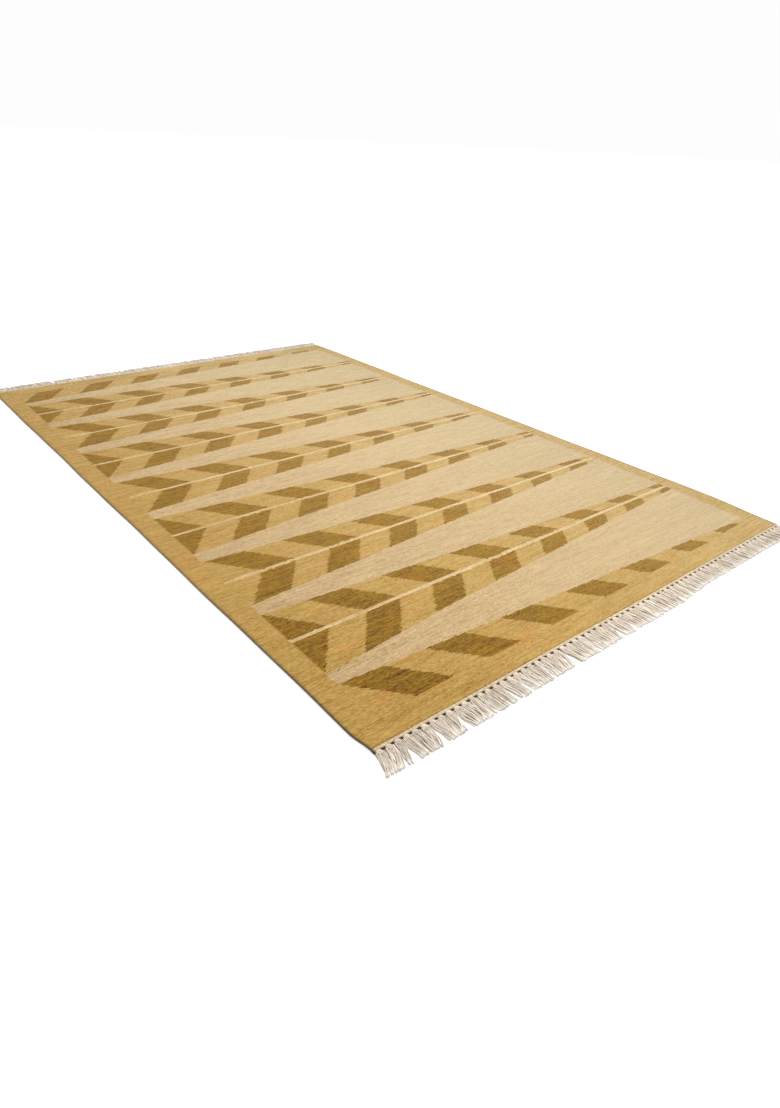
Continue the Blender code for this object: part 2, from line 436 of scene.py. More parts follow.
class FinishNodes:
    """The node tree of one finish, with a Principled shader at its end."""

    def __init__(self, name: str) -> None:
        """Make a material that holds only its shader and output.

        Args:
            name: The finish's name.
        """
        self.material = bpy.data.materials.new(name)
        self.material.use_nodes = True
        self.tree = self.material.node_tree
        self.shader = self.tree.nodes["Principled BSDF"]

    def feed(self, socket: bpy.types.NodeSocket, value: "Signal | Colour | float | tuple") -> None:
        """Link a signal to an input, or set a constant on it.

        Args:
            socket: The input.
            value: A signal, a yarn, a number or a colour.
        """
        value = value.value if isinstance(value, Colour) else value
        if isinstance(value, Signal):
            self.tree.links.new(value.socket, socket)
        elif isinstance(value, tuple) and len(value) < len(socket.default_value):
            socket.default_value = (*value, 1.0)
        else:
            socket.default_value = value

    def dress(self, **inputs: "Signal | Colour | float | tuple") -> bpy.types.Material:
        """Feed inputs of the shader, with _ for the spaces in their names.

        Args:
            inputs: The value of each input.

        Returns:
            The finished material.
        """
        for name, value in inputs.items():
            self.feed(self.shader.inputs[name.replace("_", " ")], value)
        return self.material

    def work(
        self,
        kind: str,
        inputs: "dict[str | int, Signal | Colour | float]",
        output: str | int = 0,
        **settings: str | bool,
    ) -> Signal:
        """Add a node, feed it and take up what it gives.

        Args:
            kind: Blender's name for the node, after "ShaderNode".
            inputs: The values of its inputs, by name or number.
            output: The output that is taken up.
            settings: What is set on the node.

        Returns:
            The output's value.
        """
        node = self.tree.nodes.new(f"ShaderNode{kind}")
        for name, value in settings.items():
            setattr(node, name, value)
        for name, value in inputs.items():
            self.feed(node.inputs[name], value)
        return Signal(self, node.outputs[output])

    def math(self, operation: str, *values: Signal | float) -> Signal:
        """Work out one sum of one or two values, by Blender's name for it."""
        return self.work("Math", dict(enumerate(values)), operation=operation)

    def parts(self, vector: Signal) -> tuple[Signal, ...]:
        """Split a vector into its x, y and z."""
        split = self.work("SeparateXYZ", {"Vector": vector}).socket.node
        return tuple(Signal(self, socket) for socket in split.outputs)

    def place(self) -> tuple[Signal, ...]:
        """Give the surface's x, y and z on the piece itself, in metres."""
        return self.parts(self.work("TexCoord", {}, "Object"))

    def map_place(self, name: str) -> tuple[Signal, ...]:
        """Give the surface's place along the two directions of a UV map."""
        return self.parts(self.work("UVMap", {}, uv_map=name))[:2]

    def point_value(self, name: str) -> Signal:
        """Read a value that the mesh holds for each point."""
        return self.work("Attribute", {}, "Fac", attribute_name=name)

    def join(self, x: Signal | float, y: Signal | float, z: Signal | float = 0.0) -> Signal:
        """Join three numbers into a vector."""
        return self.work("CombineXYZ", {"X": x, "Y": y, "Z": z})

    def cloud(self, place: Signal, detail: float = 2.0, roughness: float = 0.5) -> Signal:
        """Give smooth noise, mostly from -0.5 to 0.5, with lumps about one unit wide."""
        inputs = {"Vector": place, "Scale": 1.0, "Detail": detail, "Roughness": roughness}
        return self.work("TexNoise", inputs) - 0.5

    def speckle(self, place: Signal) -> Signal:
        """Give a value from -0.5 to 0.5 that differs at every place."""
        return self.work("TexWhiteNoise", {"Vector": place}, "Value", noise_dimensions="3D") - 0.5

    def ramp(self, value: Signal, rise: Rise) -> Signal:
        """Rise smoothly from 0 at the start of the rise to 1 at its end."""
        inputs = {"Value": value, "From Min": rise[0], "From Max": rise[1]}
        return self.work("MapRange", inputs, interpolation_type="SMOOTHSTEP")

    def mix(self, mode: str, share: Signal, *colours: Signal | Colour) -> Signal:
        """Mix two colours.

        Args:
            mode: Blender's name for the way they mix.
            share: How much of the mix shows.
            colours: The two colours.

        Returns:
            The mixed colour.
        """
        inputs = {"Factor": share, **dict(zip(MIX_COLOURS, colours))}
        settings = {"data_type": "RGBA", "blend_type": mode, "clamp_factor": True}
        return self.work("Mix", inputs, MIX_RESULT, **settings)

    def blend(self, share: Signal, first: Signal | Colour, second: Signal | Colour) -> Signal:
        """Blend two colours, with so much of the second."""
        return self.mix("MIX", share, first, second)

    def tint(self, share: Signal, colour: Signal, dye: Colour) -> Signal:
        """Tint a colour with so much of a second dye, which multiplies it."""
        return self.mix("MULTIPLY", share, colour, dye)

    def stain(self, colour: Signal, red: Signal, green: Signal, blue: Signal) -> Signal:
        """Multiply each channel of a colour by its own strength."""
        inputs = {0: colour, 1: self.join(red, green, blue)}
        return self.work("VectorMath", inputs, operation="MULTIPLY")

    def bump(self, height: Signal, depth: float) -> Signal:
        """Turn a height into a bumpy normal, where a height of 1 is so many metres deep."""
        return self.work("Bump", {"Distance": depth, "Height": height}, "Normal")


@dataclass(frozen=True)
class Lumps:
    """Soft unevenness: the length of its lumps across and along, its layer and its fineness."""

    across: float
    along: float
    layer: float = 0.0
    detail: float = 2.0
    roughness: float = 0.5

    def over(self, x: Signal, y: Signal | float) -> Signal:
        """Give the lumps' height at a place, mostly from -0.5 to 0.5."""
        place = x.nodes.join(x / self.across, y / self.along, self.layer)
        return x.nodes.cloud(place, self.detail, self.roughness)


@dataclass(frozen=True)
class LeafChart:
    """The traditional leaf bands of the field, worked out from a few sizes.

    Tapering gold bands run across a cream field. A cream rib runs down the middle of each band,
    with a row of olive leaves on either side of it. The bands are numbered from 0 at the near end,
    and the field's edge cuts the first and the last.
    """

    field_left: float = -0.7360
    field_right: float = 0.7410
    field_near: float = -1.1872
    field_far: float = 1.1915
    far_line_rise: float = 0.0190
    far_line_bow: float = 0.0220
    near_line_lift: float = 0.0060
    near_line_rise: Rise = (0.45, 0.68)
    near_right_pull: float = 0.0140
    pull_across: Rise = (0.0, 0.75)
    pull_along: Rise = (0.82, 1.18)
    first_band: float = -1.1850
    band_pitch: float = 0.2975
    last_full_band: int = 7
    half_band_left: float = 0.1235
    half_band_right: float = 0.0210
    first_band_slimmer: float = 0.0035
    second_band_wider: float = 0.0030
    second_band_skirt: float = 0.0100
    skirt_rise: Rise = (0.30, 0.75)
    last_band_wider: float = 0.0060
    last_band_taper: float = 0.0165
    rib_width: float = 0.0115
    rib_fray: float = 0.0016
    leaf_period: float = 0.21217
    leaf_shortening: float = 0.0290
    leaf_start: float = -0.6300
    leaf_slant: float = 0.80
    first_band_slant: float = 0.08
    leaf_share: float = 0.49
    leaf_fray: float = 0.0052
    leaf_drift: float = -0.0030
    band_slant: float = 0.0062
    slant_growth: float = 0.0033
    band_bow: float = 0.0021

    def straighten(self, x: Signal, y: Signal) -> tuple[Signal, Signal]:
        """Undo the slow bends of the weave.

        Args:
            x: Place across the rug.
            y: Place along the rug.

        Returns:
            The place on a chart with straight bands.
        """
        drawn_in = x.ramp(self.pull_across) * (-y).ramp(self.pull_along)
        x = x + drawn_in * self.near_right_pull
        return x, y + x * (y * self.slant_growth + self.band_slant) + y * y * self.band_bow

    def half_band(self, x: Signal, band: Signal, above_rib: Signal) -> Signal:
        """Give half the width of a band.

        Args:
            x: Place across the chart.
            band: The band's number.
            above_rib: How far the place is beyond the band's rib.

        Returns:
            Half the width there.
        """
        taper = (self.half_band_right - self.half_band_left) / (self.field_right - self.field_left)
        half = (x - self.field_left) * taper + self.half_band_left
        half = half - (band < 0.5) * self.first_band_slimmer
        is_last = band > self.last_full_band + 0.5
        half = half + is_last * (self.last_band_wider - x * self.last_band_taper)
        is_second = (band > 0.5) * (band < 1.5)
        skirt = (-x).ramp(self.skirt_rise) * (above_rib < 0.0) * self.second_band_skirt
        return half + is_second * (skirt + self.second_band_wider)

    def in_field(self, x: Signal, y: Signal) -> Signal:
        """Tell the field from the border.

        Args:
            x: Place across the chart.
            y: Place along the chart.

        Returns:
            1 in the field, otherwise 0.
        """
        near_line = x.ramp(self.near_line_rise) * self.near_line_lift + self.field_near
        far_line = x * (self.far_line_rise - x * self.far_line_bow) + self.field_far
        return (x > self.field_left) * (x < self.field_right) * (y > near_line) * (y < far_line)

    def masks(self, x: Signal, y: Signal, fray: Signal) -> tuple[Signal, Signal, Signal]:
        """Chart the yarns.

        Args:
            x: Place across the rug of each float of weft.
            y: Place along the rug of each float of weft.
            fray: An uneven shift of each float, from -0.5 to 0.5.

        Returns:
            Where the yarn is olive, cream and rib cream, as 1 or 0. The rest is gold.
        """
        x, y = self.straighten(x, y)
        from_first = y - self.first_band
        band = (from_first / self.band_pitch + 0.5).floor()
        above_rib = from_first - band * self.band_pitch
        from_rib = abs(above_rib)
        is_first = band < 0.5
        is_band = from_rib < self.half_band(x, band, above_rib)
        is_full = (band > 0.5) * (band < self.last_full_band + 0.5)
        is_rib = (from_rib + fray * self.rib_fray < self.rib_width / 2) * is_full

        run = x + fray * self.leaf_fray - self.leaf_start - from_first * self.leaf_drift
        shift = 0.5 - (band / 2).fract()
        slant = is_first * self.first_band_slant + self.leaf_slant
        leaves = (run + from_rib * slant) * (run * self.leaf_shortening + 1.0)
        is_leaf = (leaves / self.leaf_period + shift).fract() > 1.0 - self.leaf_share

        in_field = self.in_field(x, y)
        olive = in_field * is_band * (1.0 - is_rib) * is_leaf
        return olive, in_field * (1.0 - is_band), in_field * is_rib


@dataclass(frozen=True)
class WeftSpot:
    """A place on the cloth: its pick and float of weft, their yarn, and where on the rug it is."""

    x: Signal
    y: Signal
    row: Signal
    column: Signal
    dome: Signal
    olive: Signal
    cream: Signal
    rib: Signal
    to_right: Signal
    near_left: Signal


@dataclass(frozen=True)
class WoolFinish:
    """Weft-faced wool: every float of weft is one small dash, in bricks with its neighbours."""

    name: str = "woven_wool_cloth"
    chart: LeafChart = LeafChart()
    float_length: float = 0.00741
    pick: float = 0.002809
    first_pick: float = -1.250
    fray_layer: float = 5.0
    crown_share: float = 0.6
    to_right: Rise = (-0.75, 0.35)
    to_near: Rise = (0.35, 1.15)

    # Painted sheen: a pale haze that grows towards the right and the far end.
    sheen_haze_share: float = 0.185
    sheen_haze_along: float = 0.3
    sheen_haze_rise: Rise = (-1.15, 0.85)
    sheen_haze_olive: float = 0.62
    hue: Lumps = Lumps(0.120, 0.0300, 8.0, detail=1.0)
    hue_rise: Rise = (0.02, 0.28)
    cream_evenness: float = 0.85
    rust_share: float = 0.60
    moss_share: float = 0.50

    float_tone: float = 0.24
    line: Lumps = Lumps(0.080, 1.0, 1.0)
    line_stride: float = 3.7
    line_tone: float = 0.76
    slub: Lumps = Lumps(0.016, 1.0, 4.0, detail=1.0)
    slub_stride: float = 5.3
    slub_rise: Rise = (0.16, 0.30)
    slub_fade: float = 0.7
    slub_tone: float = 0.34
    near_left_contrast: float = 0.36
    far_contrast: float = 0.40
    far_rise: Rise = (0.0, 1.2)
    near_calm: float = 0.16
    near_calm_rise: Rise = (0.70, 1.20)
    olive_contrast: float = 0.65
    streak: Lumps = Lumps(0.190, 0.0190, detail=3.0, roughness=0.6)
    streak_tone: float = 0.30
    cream_calm: float = 0.35
    olive_depth: float = 0.12
    stitch: Lumps = Lumps(0.0065, 1.0, detail=1.0)
    stitch_row: float = 7.0
    stitch_rise: Rise = (0.02, 0.18)
    stitch_fade: float = 0.5
    end_rise: Rise = (1.2430, 1.2475)
    end_stitch: float = 0.40
    abrash: Lumps = Lumps(0.9, 0.16, detail=1.0)
    abrash_tone: float = 0.10
    # Painted shade in the grooves between floats of weft.
    mean_dome: float = 0.6
    near_groove_shade: float = 1.60
    groove_shade: float = 0.20

    green_depth: float = 1.25
    blue_depth: float = 2.00
    cream_blue_depth: float = 1.50
    # Painted shade along the edges.
    edge_shade_share: float = 0.75
    # Painted shade on the top's edge by the near left corner.
    corner_shade_share: float = 0.65
    corner_shade_rise: Rise = (0.50, 1.20)
    corner_shade_edge: Rise = (0.5, 1.0)
    # Painted shade down the rim, darker towards the floor.
    rim_shade_rise: Rise = (0.2, 1.2)
    fibre: Lumps = Lumps(0.0016, 0.0006, roughness=0.6)
    fibre_relief: float = 0.5
    line_relief: float = 1.2
    relief: float = 0.00060
    roughness: float = 0.80
    fibre_roughness: float = 0.14
    sheen: float = 0.09
    sheen_roughness: float = 0.30
    gloss: float = 0.15

    def weft(self, nodes: FinishNodes) -> WeftSpot:
        """Find the float of weft that each place lies on.

        Args:
            nodes: The finish's nodes.

        Returns:
            What is known of the place.
        """
        x, y, _ = nodes.place()
        row = ((y - self.first_pick) / self.pick).floor()
        half = (row / 2).fract()
        column = (x / self.float_length + half).floor()
        float_x = (column + 0.5 - half) * self.float_length
        float_y = (row + 0.5) * self.pick + self.first_pick
        bulge = ((y - float_y) / self.pick * math.pi).cosine()
        crown = ((x - float_x) / self.float_length * math.pi).cosine()
        dome = bulge * (crown * self.crown_share + (1.0 - self.crown_share))
        fray = nodes.speckle(nodes.join(column, half + row / 2, self.fray_layer))
        yarns = self.chart.masks(float_x, float_y, fray)
        to_right = x.ramp(self.to_right)
        near_left = (-y).ramp(self.to_near) * (1.0 - to_right)
        return WeftSpot(x, y, row, column, dome, *yarns, to_right, near_left)

    def dyed(self, nodes: FinishNodes, spot: WeftSpot) -> Signal:
        """Dye the yarns, paint a pale sheen to the right and far, and tint rusty or mossy patches.

        Args:
            nodes: The finish's nodes.
            spot: The place on the cloth.

        Returns:
            The colour of the yarn there.
        """
        colour = nodes.blend(spot.olive, Colour.GOLD, Colour.OLIVE)
        colour = nodes.blend(spot.cream, colour, Colour.CREAM)
        colour = nodes.blend(spot.rib, colour, Colour.RIB)
        # Painted sheen: a pale haze, stronger to the right and far, and weaker on olive.
        sheen_haze = (spot.x + spot.y * self.sheen_haze_along).ramp(self.sheen_haze_rise)
        sheen_haze = sheen_haze * (1.0 - spot.olive * self.sheen_haze_olive) * self.sheen_haze_share
        colour = nodes.blend(sheen_haze, colour, Colour.FADED)
        hue = self.hue.over(spot.x, spot.y)
        calm = 1.0 - spot.cream * self.cream_evenness
        rust, moss = hue.ramp(self.hue_rise) * calm, (-hue).ramp(self.hue_rise) * calm
        colour = nodes.tint(rust * self.rust_share, colour, Colour.RUST_TINT)
        return nodes.tint(moss * self.moss_share, colour, Colour.MOSS_TINT)

    def tone(self, nodes: FinishNodes, spot: WeftSpot, line: Signal) -> Signal:
        """Work out how much lighter or darker the cloth is than its dyes, with painted shade in the
        grooves.

        Args:
            nodes: The finish's nodes.
            spot: The place on the cloth.
            line: The unevenness of its pick.

        Returns:
            The share by which it is lighter.
        """
        slub = self.slub.over(spot.x, spot.row * self.slub_stride)
        slub = slub.ramp(self.slub_rise) * (1.0 - spot.to_right * self.slub_fade)
        tone = nodes.speckle(nodes.join(spot.column, spot.row)) * self.float_tone
        tone = tone + line * self.line_tone - slub * self.slub_tone
        to_far = spot.y.ramp(self.far_rise)
        contrast = spot.near_left * self.near_left_contrast + to_far * self.far_contrast
        contrast = contrast + 1.0 - (-spot.y).ramp(self.near_calm_rise) * self.near_calm
        tone = tone * contrast * (spot.olive * self.olive_contrast + 1.0)
        tone = tone + self.streak.over(spot.x, spot.y) * self.streak_tone
        tone = tone * (1.0 - spot.cream * spot.to_right * self.cream_calm)
        tone = tone - spot.near_left * spot.olive * self.olive_depth
        stitch = self.stitch.over(spot.x, self.stitch_row).ramp(self.stitch_rise)
        at_end = abs(spot.y).ramp(self.end_rise) * (1.0 - spot.to_right * self.stitch_fade)
        tone = tone - stitch * at_end * self.end_stitch
        tone = tone + self.abrash.over(spot.x, spot.y) * self.abrash_tone
        # Painted shade: darker in the grooves between floats of weft, more so by the near left corner.
        grooves = (spot.dome - self.mean_dome) * (spot.near_left * self.near_groove_shade + 1.0)
        return tone + grooves * self.groove_shade

    def material(self) -> bpy.types.Material:
        """Make the finish.

        Returns:
            The material of the cloth.
        """
        nodes = FinishNodes(self.name)
        spot = self.weft(nodes)
        line = self.line.over(spot.x, spot.row * self.line_stride)
        tone = self.tone(nodes, spot, line)
        # Painted shade: the top's outer 10 mm by the sides, and the rim all round, darken towards tan
        # brown.
        selvedge = nodes.point_value(SELVEDGE)
        colour = nodes.blend(selvedge * self.edge_shade_share, self.dyed(nodes, spot), Colour.EDGE_TAN)
        blue_depth = self.blue_depth - spot.cream * (self.blue_depth - self.cream_blue_depth)
        deep_green, deep_blue = tone * self.green_depth + 1.0, tone * blue_depth + 1.0
        colour = nodes.stain(colour, tone + 1.0, deep_green, deep_blue)
        # Painted shade: the last millimetres of the top by the left edge darken towards the near end.
        corner_shade = (-spot.y).ramp(self.corner_shade_rise) * (1.0 - spot.to_right) * self.corner_shade_share
        corner_shade = corner_shade * selvedge.ramp(self.corner_shade_edge)
        # Painted shade: the rim darkens towards the floor, and so does the top's edge by the near left
        # corner.
        rim = nodes.math("MAXIMUM", nodes.point_value(RIM).ramp(self.rim_shade_rise), corner_shade)
        fibre = self.fibre.over(spot.x, spot.y)
        height = spot.dome * (line * self.line_relief + 1.0) + fibre * self.fibre_relief
        return nodes.dress(
            Base_Color=nodes.blend(rim, colour, Colour.EDGE_BROWN),
            Roughness=fibre * self.fibre_roughness + self.roughness,
            Normal=nodes.bump(height, self.relief),
            Sheen_Weight=self.sheen,
            Sheen_Roughness=self.sheen_roughness,
            Specular_IOR_Level=self.gloss,
        )


@dataclass(frozen=True)
class CottonFinish:
    """Undyed cotton yarn, plied in two, or the dark cord of painted shade, with painted shade in its
    hollows.
    """

    name: str
    yarn: Colour = Colour.COTTON
    shade_yarn: Colour = Colour.COTTON_SHADE
    is_plied: bool = False
    ply_turn: float = 0.0042
    ply_hollow: float = 0.30
    under_hollow: float = 0.60
    under_rise: Rise = (0.12, 0.60)
    own_hollow: float = 0.75
    hollow_rise: Rise = (0.15, 1.0)
    shade_share: float = 0.75
    fibre_width: float = 0.0009
    fibre_length: float = 0.0022
    fibre_tone: float = 0.12
    mottle_width: float = 0.012
    mottle_length: float = 0.020
    mottle: float = 0.22
    tone: float = 0.16
    # Painted shade that grows towards the right.
    right_shade: float = 0.09
    right_shade_rise: Rise = (0.05, 0.50)
    relief: float = 0.00022
    roughness: float = 0.90
    fibre_roughness: float = 0.12
    sheen: float = 0.08
    sheen_roughness: float = 0.6
    gloss: float = 0.25

    def material(self) -> bpy.types.Material:
        """Make the finish.

        Returns:
            The material of one kind of cotton piece.
        """
        nodes = FinishNodes(self.name)
        x, y, z = nodes.place()
        hollow = nodes.point_value(HOLLOW)
        if self.is_plied:
            turn, run = nodes.map_place(PLY_MAP)
            # Painted shade in the grooves between the plies and on the yarn's underside.
            crest = abs(((run / self.ply_turn + turn) * math.tau).cosine())
            underneath = (0.5 - (turn * math.tau).sine() * 0.5).ramp(self.under_rise)
            deep = (1.0 - crest) * self.ply_hollow + underneath * self.under_hollow
            hollow = hollow * self.own_hollow + deep
        fibre, mottle = (
            nodes.cloud(nodes.join(x / width, y / length, z / width))
            for width, length in (
                (self.fibre_width, self.fibre_length),
                (self.mottle_width, self.mottle_length),
            )
        )
        # Painted shade: the hollows blend towards the shade colour.
        shaded = hollow.ramp(self.hollow_rise) * self.shade_share
        colour = nodes.blend(shaded, self.yarn, self.shade_yarn)
        colour = nodes.blend(nodes.point_value(FRAYED), colour, Colour.COTTON_TIP)
        # Painted shade where the rim value is set: dark brown.
        colour = nodes.blend(nodes.point_value(RIM), colour, Colour.EDGE_BROWN)
        tone = nodes.point_value(TONE) * self.tone + mottle * self.mottle + fibre * self.fibre_tone
        # Painted shade: the cotton darkens towards the right.
        light = tone - x.ramp(self.right_shade_rise) * self.right_shade + 1.0
        return nodes.dress(
            Base_Color=nodes.stain(colour, light, light, light),
            Roughness=fibre * self.fibre_roughness + self.roughness,
            Normal=nodes.bump(fibre - hollow, self.relief),
            Sheen_Weight=self.sheen,
            Sheen_Roughness=self.sheen_roughness,
            Specular_IOR_Level=self.gloss,
        )


@dataclass(frozen=True)
class FloorFinish:
    """Matt pale studio floor, lit a little from below like a photo table."""

    name: str = "pale_floor"
    haze: Lumps = Lumps(0.8, 0.8)
    roughness: float = 0.92
    haze_roughness: float = 0.05
    glow: float = 0.45

    def material(self) -> bpy.types.Material:
        """Make the finish.

        Returns:
            The material of the floor.
        """
        nodes = FinishNodes(self.name)
        x, y, _ = nodes.place()
        return nodes.dress(
            Base_Color=Colour.FLOOR,
            Roughness=self.haze.over(x, y) * self.haze_roughness + self.roughness,
            Specular_IOR_Level=0.0,
            Emission_Color=(1.0, 1.0, 1.0),
            Emission_Strength=self.glow,
        )


@dataclass
class WovenCloth:
    """The wool cloth: a thin closed sheet with a ridge for every pick of weft."""

    outline: ClothOutline
    finish: WoolFinish = field(default_factory=WoolFinish)
    thickness: float = 0.0050
    picks: int = 890
    inner_columns: int = 36
    edge_columns: tuple[float, ...] = (0.0, 0.004, 0.010)
    groove: float = 0.00026
    uneven: float = 0.00007
    slow_wave: float = 7.0
    quick_wave: float = 19.0
    quick_share: float = 0.7
    pick_share: float = 0.8
    side_inset: float = 0.0010
    end_inset: float = 0.0004
    selvedge_bead: float = 0.00030
    picks_in_a_bead: int = 2
    rim: tuple[tuple[float, float], ...] = (
        (-0.00030, 0.00430),
        (0.0, 0.00240),
        (-0.00045, 0.00080),
        (-0.00140, 0.0),
    )
    rim_shade_step: float = 0.5
    underside_rows: int = 10
    underside_columns: int = 4
    map_share: float = 0.80
    strip_share: float = 0.9
    map_margin: float = 0.010

    def column_shares(self) -> np.ndarray:
        """Give the columns' places as shares of the width.

        Returns:
            The shares from left to right, closer together at the selvedges.
        """
        edge = np.array(self.edge_columns) / self.outline.width
        inner = np.linspace(edge[-1], 1.0 - edge[-1], self.inner_columns + 1)
        return np.concatenate([edge[:-1], inner, 1.0 - edge[-2::-1]])

    def top_height(self, x: np.ndarray, y: np.ndarray, is_groove: np.ndarray) -> np.ndarray:
        """Give the height of the cloth's top.

        Args:
            x: Places across the rug, by row and column.
            y: Places along the rug.
            is_groove: Whether each row of points lies between two picks.

        Returns:
            The heights.
        """
        row = np.arange(len(x))[:, None] // 2
        slow = np.sin(x * self.slow_wave + math.pi * scatter(row, Trait.PICK_SLOW_WAVE))
        quick = np.sin(x * self.quick_wave + math.pi * scatter(row, Trait.PICK_QUICK_WAVE))
        level = scatter(row, Trait.PICK_LEVEL)
        uneven = self.uneven * (slow + self.quick_share * quick + self.pick_share * level)
        return self.thickness + self.outline.swell(x, y) + uneven - self.groove * is_groove

    def ring_indices(self, rows: int, columns: int) -> tuple[np.ndarray, np.ndarray]:
        """Walk round the edge of the top's grid.

        Args:
            rows: Rows of points.
            columns: Points in a row.

        Returns:
            The row and the column of each step, counter-clockwise from the near left corner.
        """
        last_row, last_column = rows - 1, columns - 1
        steps = (
            [(0, c) for c in range(last_column)]
            + [(r, last_column) for r in range(last_row)]
            + [(last_row, c) for c in range(last_column, 0, -1)]
            + [(r, 0) for r in range(last_row, 0, -1)]
        )
        found = np.array(steps)
        return found[:, 0], found[:, 1]

    def underside_faces(self, rim: dict[tuple[int, int], int], draft: MeshDraft) -> None:
        """Close the underside with fans of flat faces that meet every point of the rim.

        Args:
            rim: The index of the lowest rim point at each grid place.
            draft: The piece, which gains the points inside the rim and the faces.
        """
        shares = self.column_shares()
        rows, columns = 2 * self.picks, len(shares) - 1
        row_marks = list(range(0, rows + 1, self.underside_rows))
        column_marks = list(range(0, columns + 1, self.underside_columns))
        index = dict(rim)
        for r in row_marks[1:-1]:
            y = -self.outline.length / 2 + r * self.outline.length / rows
            x, bent = self.outline.spots(shares[column_marks[1:-1]], np.full(1, y))
            spots = np.stack([x, np.broadcast_to(bent, x.shape), np.zeros_like(x)], axis=1)
            first = draft.add_points(spots, selvedge=0.0, rim=0.0)
            index.update({(r, c): first + i for i, c in enumerate(column_marks[1:-1])})
        faces = []
        for r0, r1 in zip(row_marks, row_marks[1:]):
            for c0, c1 in zip(column_marks, column_marks[1:]):
                near = [(r0, c) for c in (range(c0, c1) if r0 == 0 else [c0])]
                right = [(r, c1) for r in (range(r0, r1) if c1 == columns else [r0])]
                far = [(r1, c) for c in (range(c1, c0, -1) if r1 == rows else [c1])]
                left = [(r, c0) for r in (range(r1, r0, -1) if c0 == 0 else [r1])]
                loop = [index[spot] for spot in reversed(near + right + far + left)]
                hub = index[r0 if r1 == rows else r1, c0 if c1 == columns else c1]
                turn = loop.index(hub)
                fan = loop[turn + 1 :] + loop[:turn]
                faces.extend([hub, a, b] for a, b in zip(fan, fan[1:]))
        draft.add_faces(faces)

    def add_rim(
        self,
        draft: MeshDraft,
        on_edge: np.ndarray,
        outward: np.ndarray,
        inset: np.ndarray,
        bead: np.ndarray,
    ) -> tuple[list[np.ndarray], list[np.ndarray]]:
        """Round the edge of the cloth, in rings from the top down to the floor.

        Args:
            draft: The piece, which gains the rings' points.
            on_edge: The points of the outline, as high as the top.
            outward: Which way is out at each of them.
            inset: How far inside the outline the top ends there.
            bead: How far out the edge is there, which is below 0 between two turns of the weft.

        Returns:
            The indices of each ring's points, and their unrolled places.
        """
        spread = np.zeros(len(on_edge))
        before = np.stack([-inset, on_edge[:, 2]])
        rings, flat = [], []
        for step, (reach, height) in enumerate(self.rim, start=1):
            offset = reach + bead * (height > 0.0)
            points = on_edge + outward * offset[:, None]
            points[:, 2] = height
            spread = spread + np.hypot(offset - before[0], height - before[1])
            before = np.stack([offset, np.full(len(on_edge), height)])
            flat.append((on_edge + outward * (spread - inset)[:, None])[:, :2])
            # The rim value grows ring by ring towards the floor, and the finish paints it as shade.
            first = draft.add_points(points, selvedge=1.0, rim=step * self.rim_shade_step)
            rings.append(first + np.arange(len(points)))
        return rings, flat

    def build(self) -> bpy.types.Object:
        """Build the cloth and dress it.

        Returns:
            The cloth.
        """
        draft = MeshDraft("rug_cloth")
        shares = self.column_shares()
        rows, columns = 2 * self.picks + 1, len(shares)
        along = np.linspace(-self.outline.length / 2, self.outline.length / 2, rows)
        even_y = np.repeat(along[:, None], columns, axis=1)
        x, y = self.outline.spots(shares[None, :], even_y)
        is_groove = np.arange(rows)[:, None] % 2 == 0
        top = np.stack([x, y, self.top_height(x, y, is_groove)], axis=-1)
        to_edge = np.minimum(shares, 1.0 - shares) * self.outline.width
        selvedge = ease(1.0 - to_edge / self.edge_columns[-1])

        ring_row, ring_column = self.ring_indices(rows, columns)
        out_x = (ring_column == columns - 1) * 1.0 - (ring_column == 0)
        out_y = (ring_row == rows - 1) * 1.0 - (ring_row == 0)
        outward = np.stack([out_x, out_y, np.zeros(len(out_x))], axis=1)
        inset = np.where(out_x != 0, self.side_inset, self.end_inset)
        on_edge = top[ring_row, ring_column]
        top[ring_row, ring_column] -= outward * inset[:, None]
        draft.add_points(top, selvedge=selvedge, rim=0.0)
        draft.add_faces(grid_faces(rows, columns))

        bead_turn = math.tau * ring_row / (2 * self.picks_in_a_bead)
        bead = self.selvedge_bead * (np.cos(bead_turn) - 1.0) / 2 * (out_x != 0)
        rings, flat = self.add_rim(draft, on_edge, outward, inset, bead)
        rings.insert(0, ring_row * columns + ring_column)
        for upper, lower in zip(rings, rings[1:]):
            faces = (upper, lower, np.roll(lower, -1), np.roll(upper, -1))
            draft.add_faces(np.stack(faces, axis=1))
        mapped_faces = len(draft.faces)
        lowest = dict(zip(zip(ring_row.tolist(), ring_column.tolist()), rings[-1].tolist()))
        self.underside_faces(lowest, draft)

        cloth = draft.build(self.finish.material())
        flat.insert(0, top.reshape(-1, 3)[:, :2])
        self.add_bake_map(cloth, np.concatenate(flat), mapped_faces)
        return cloth

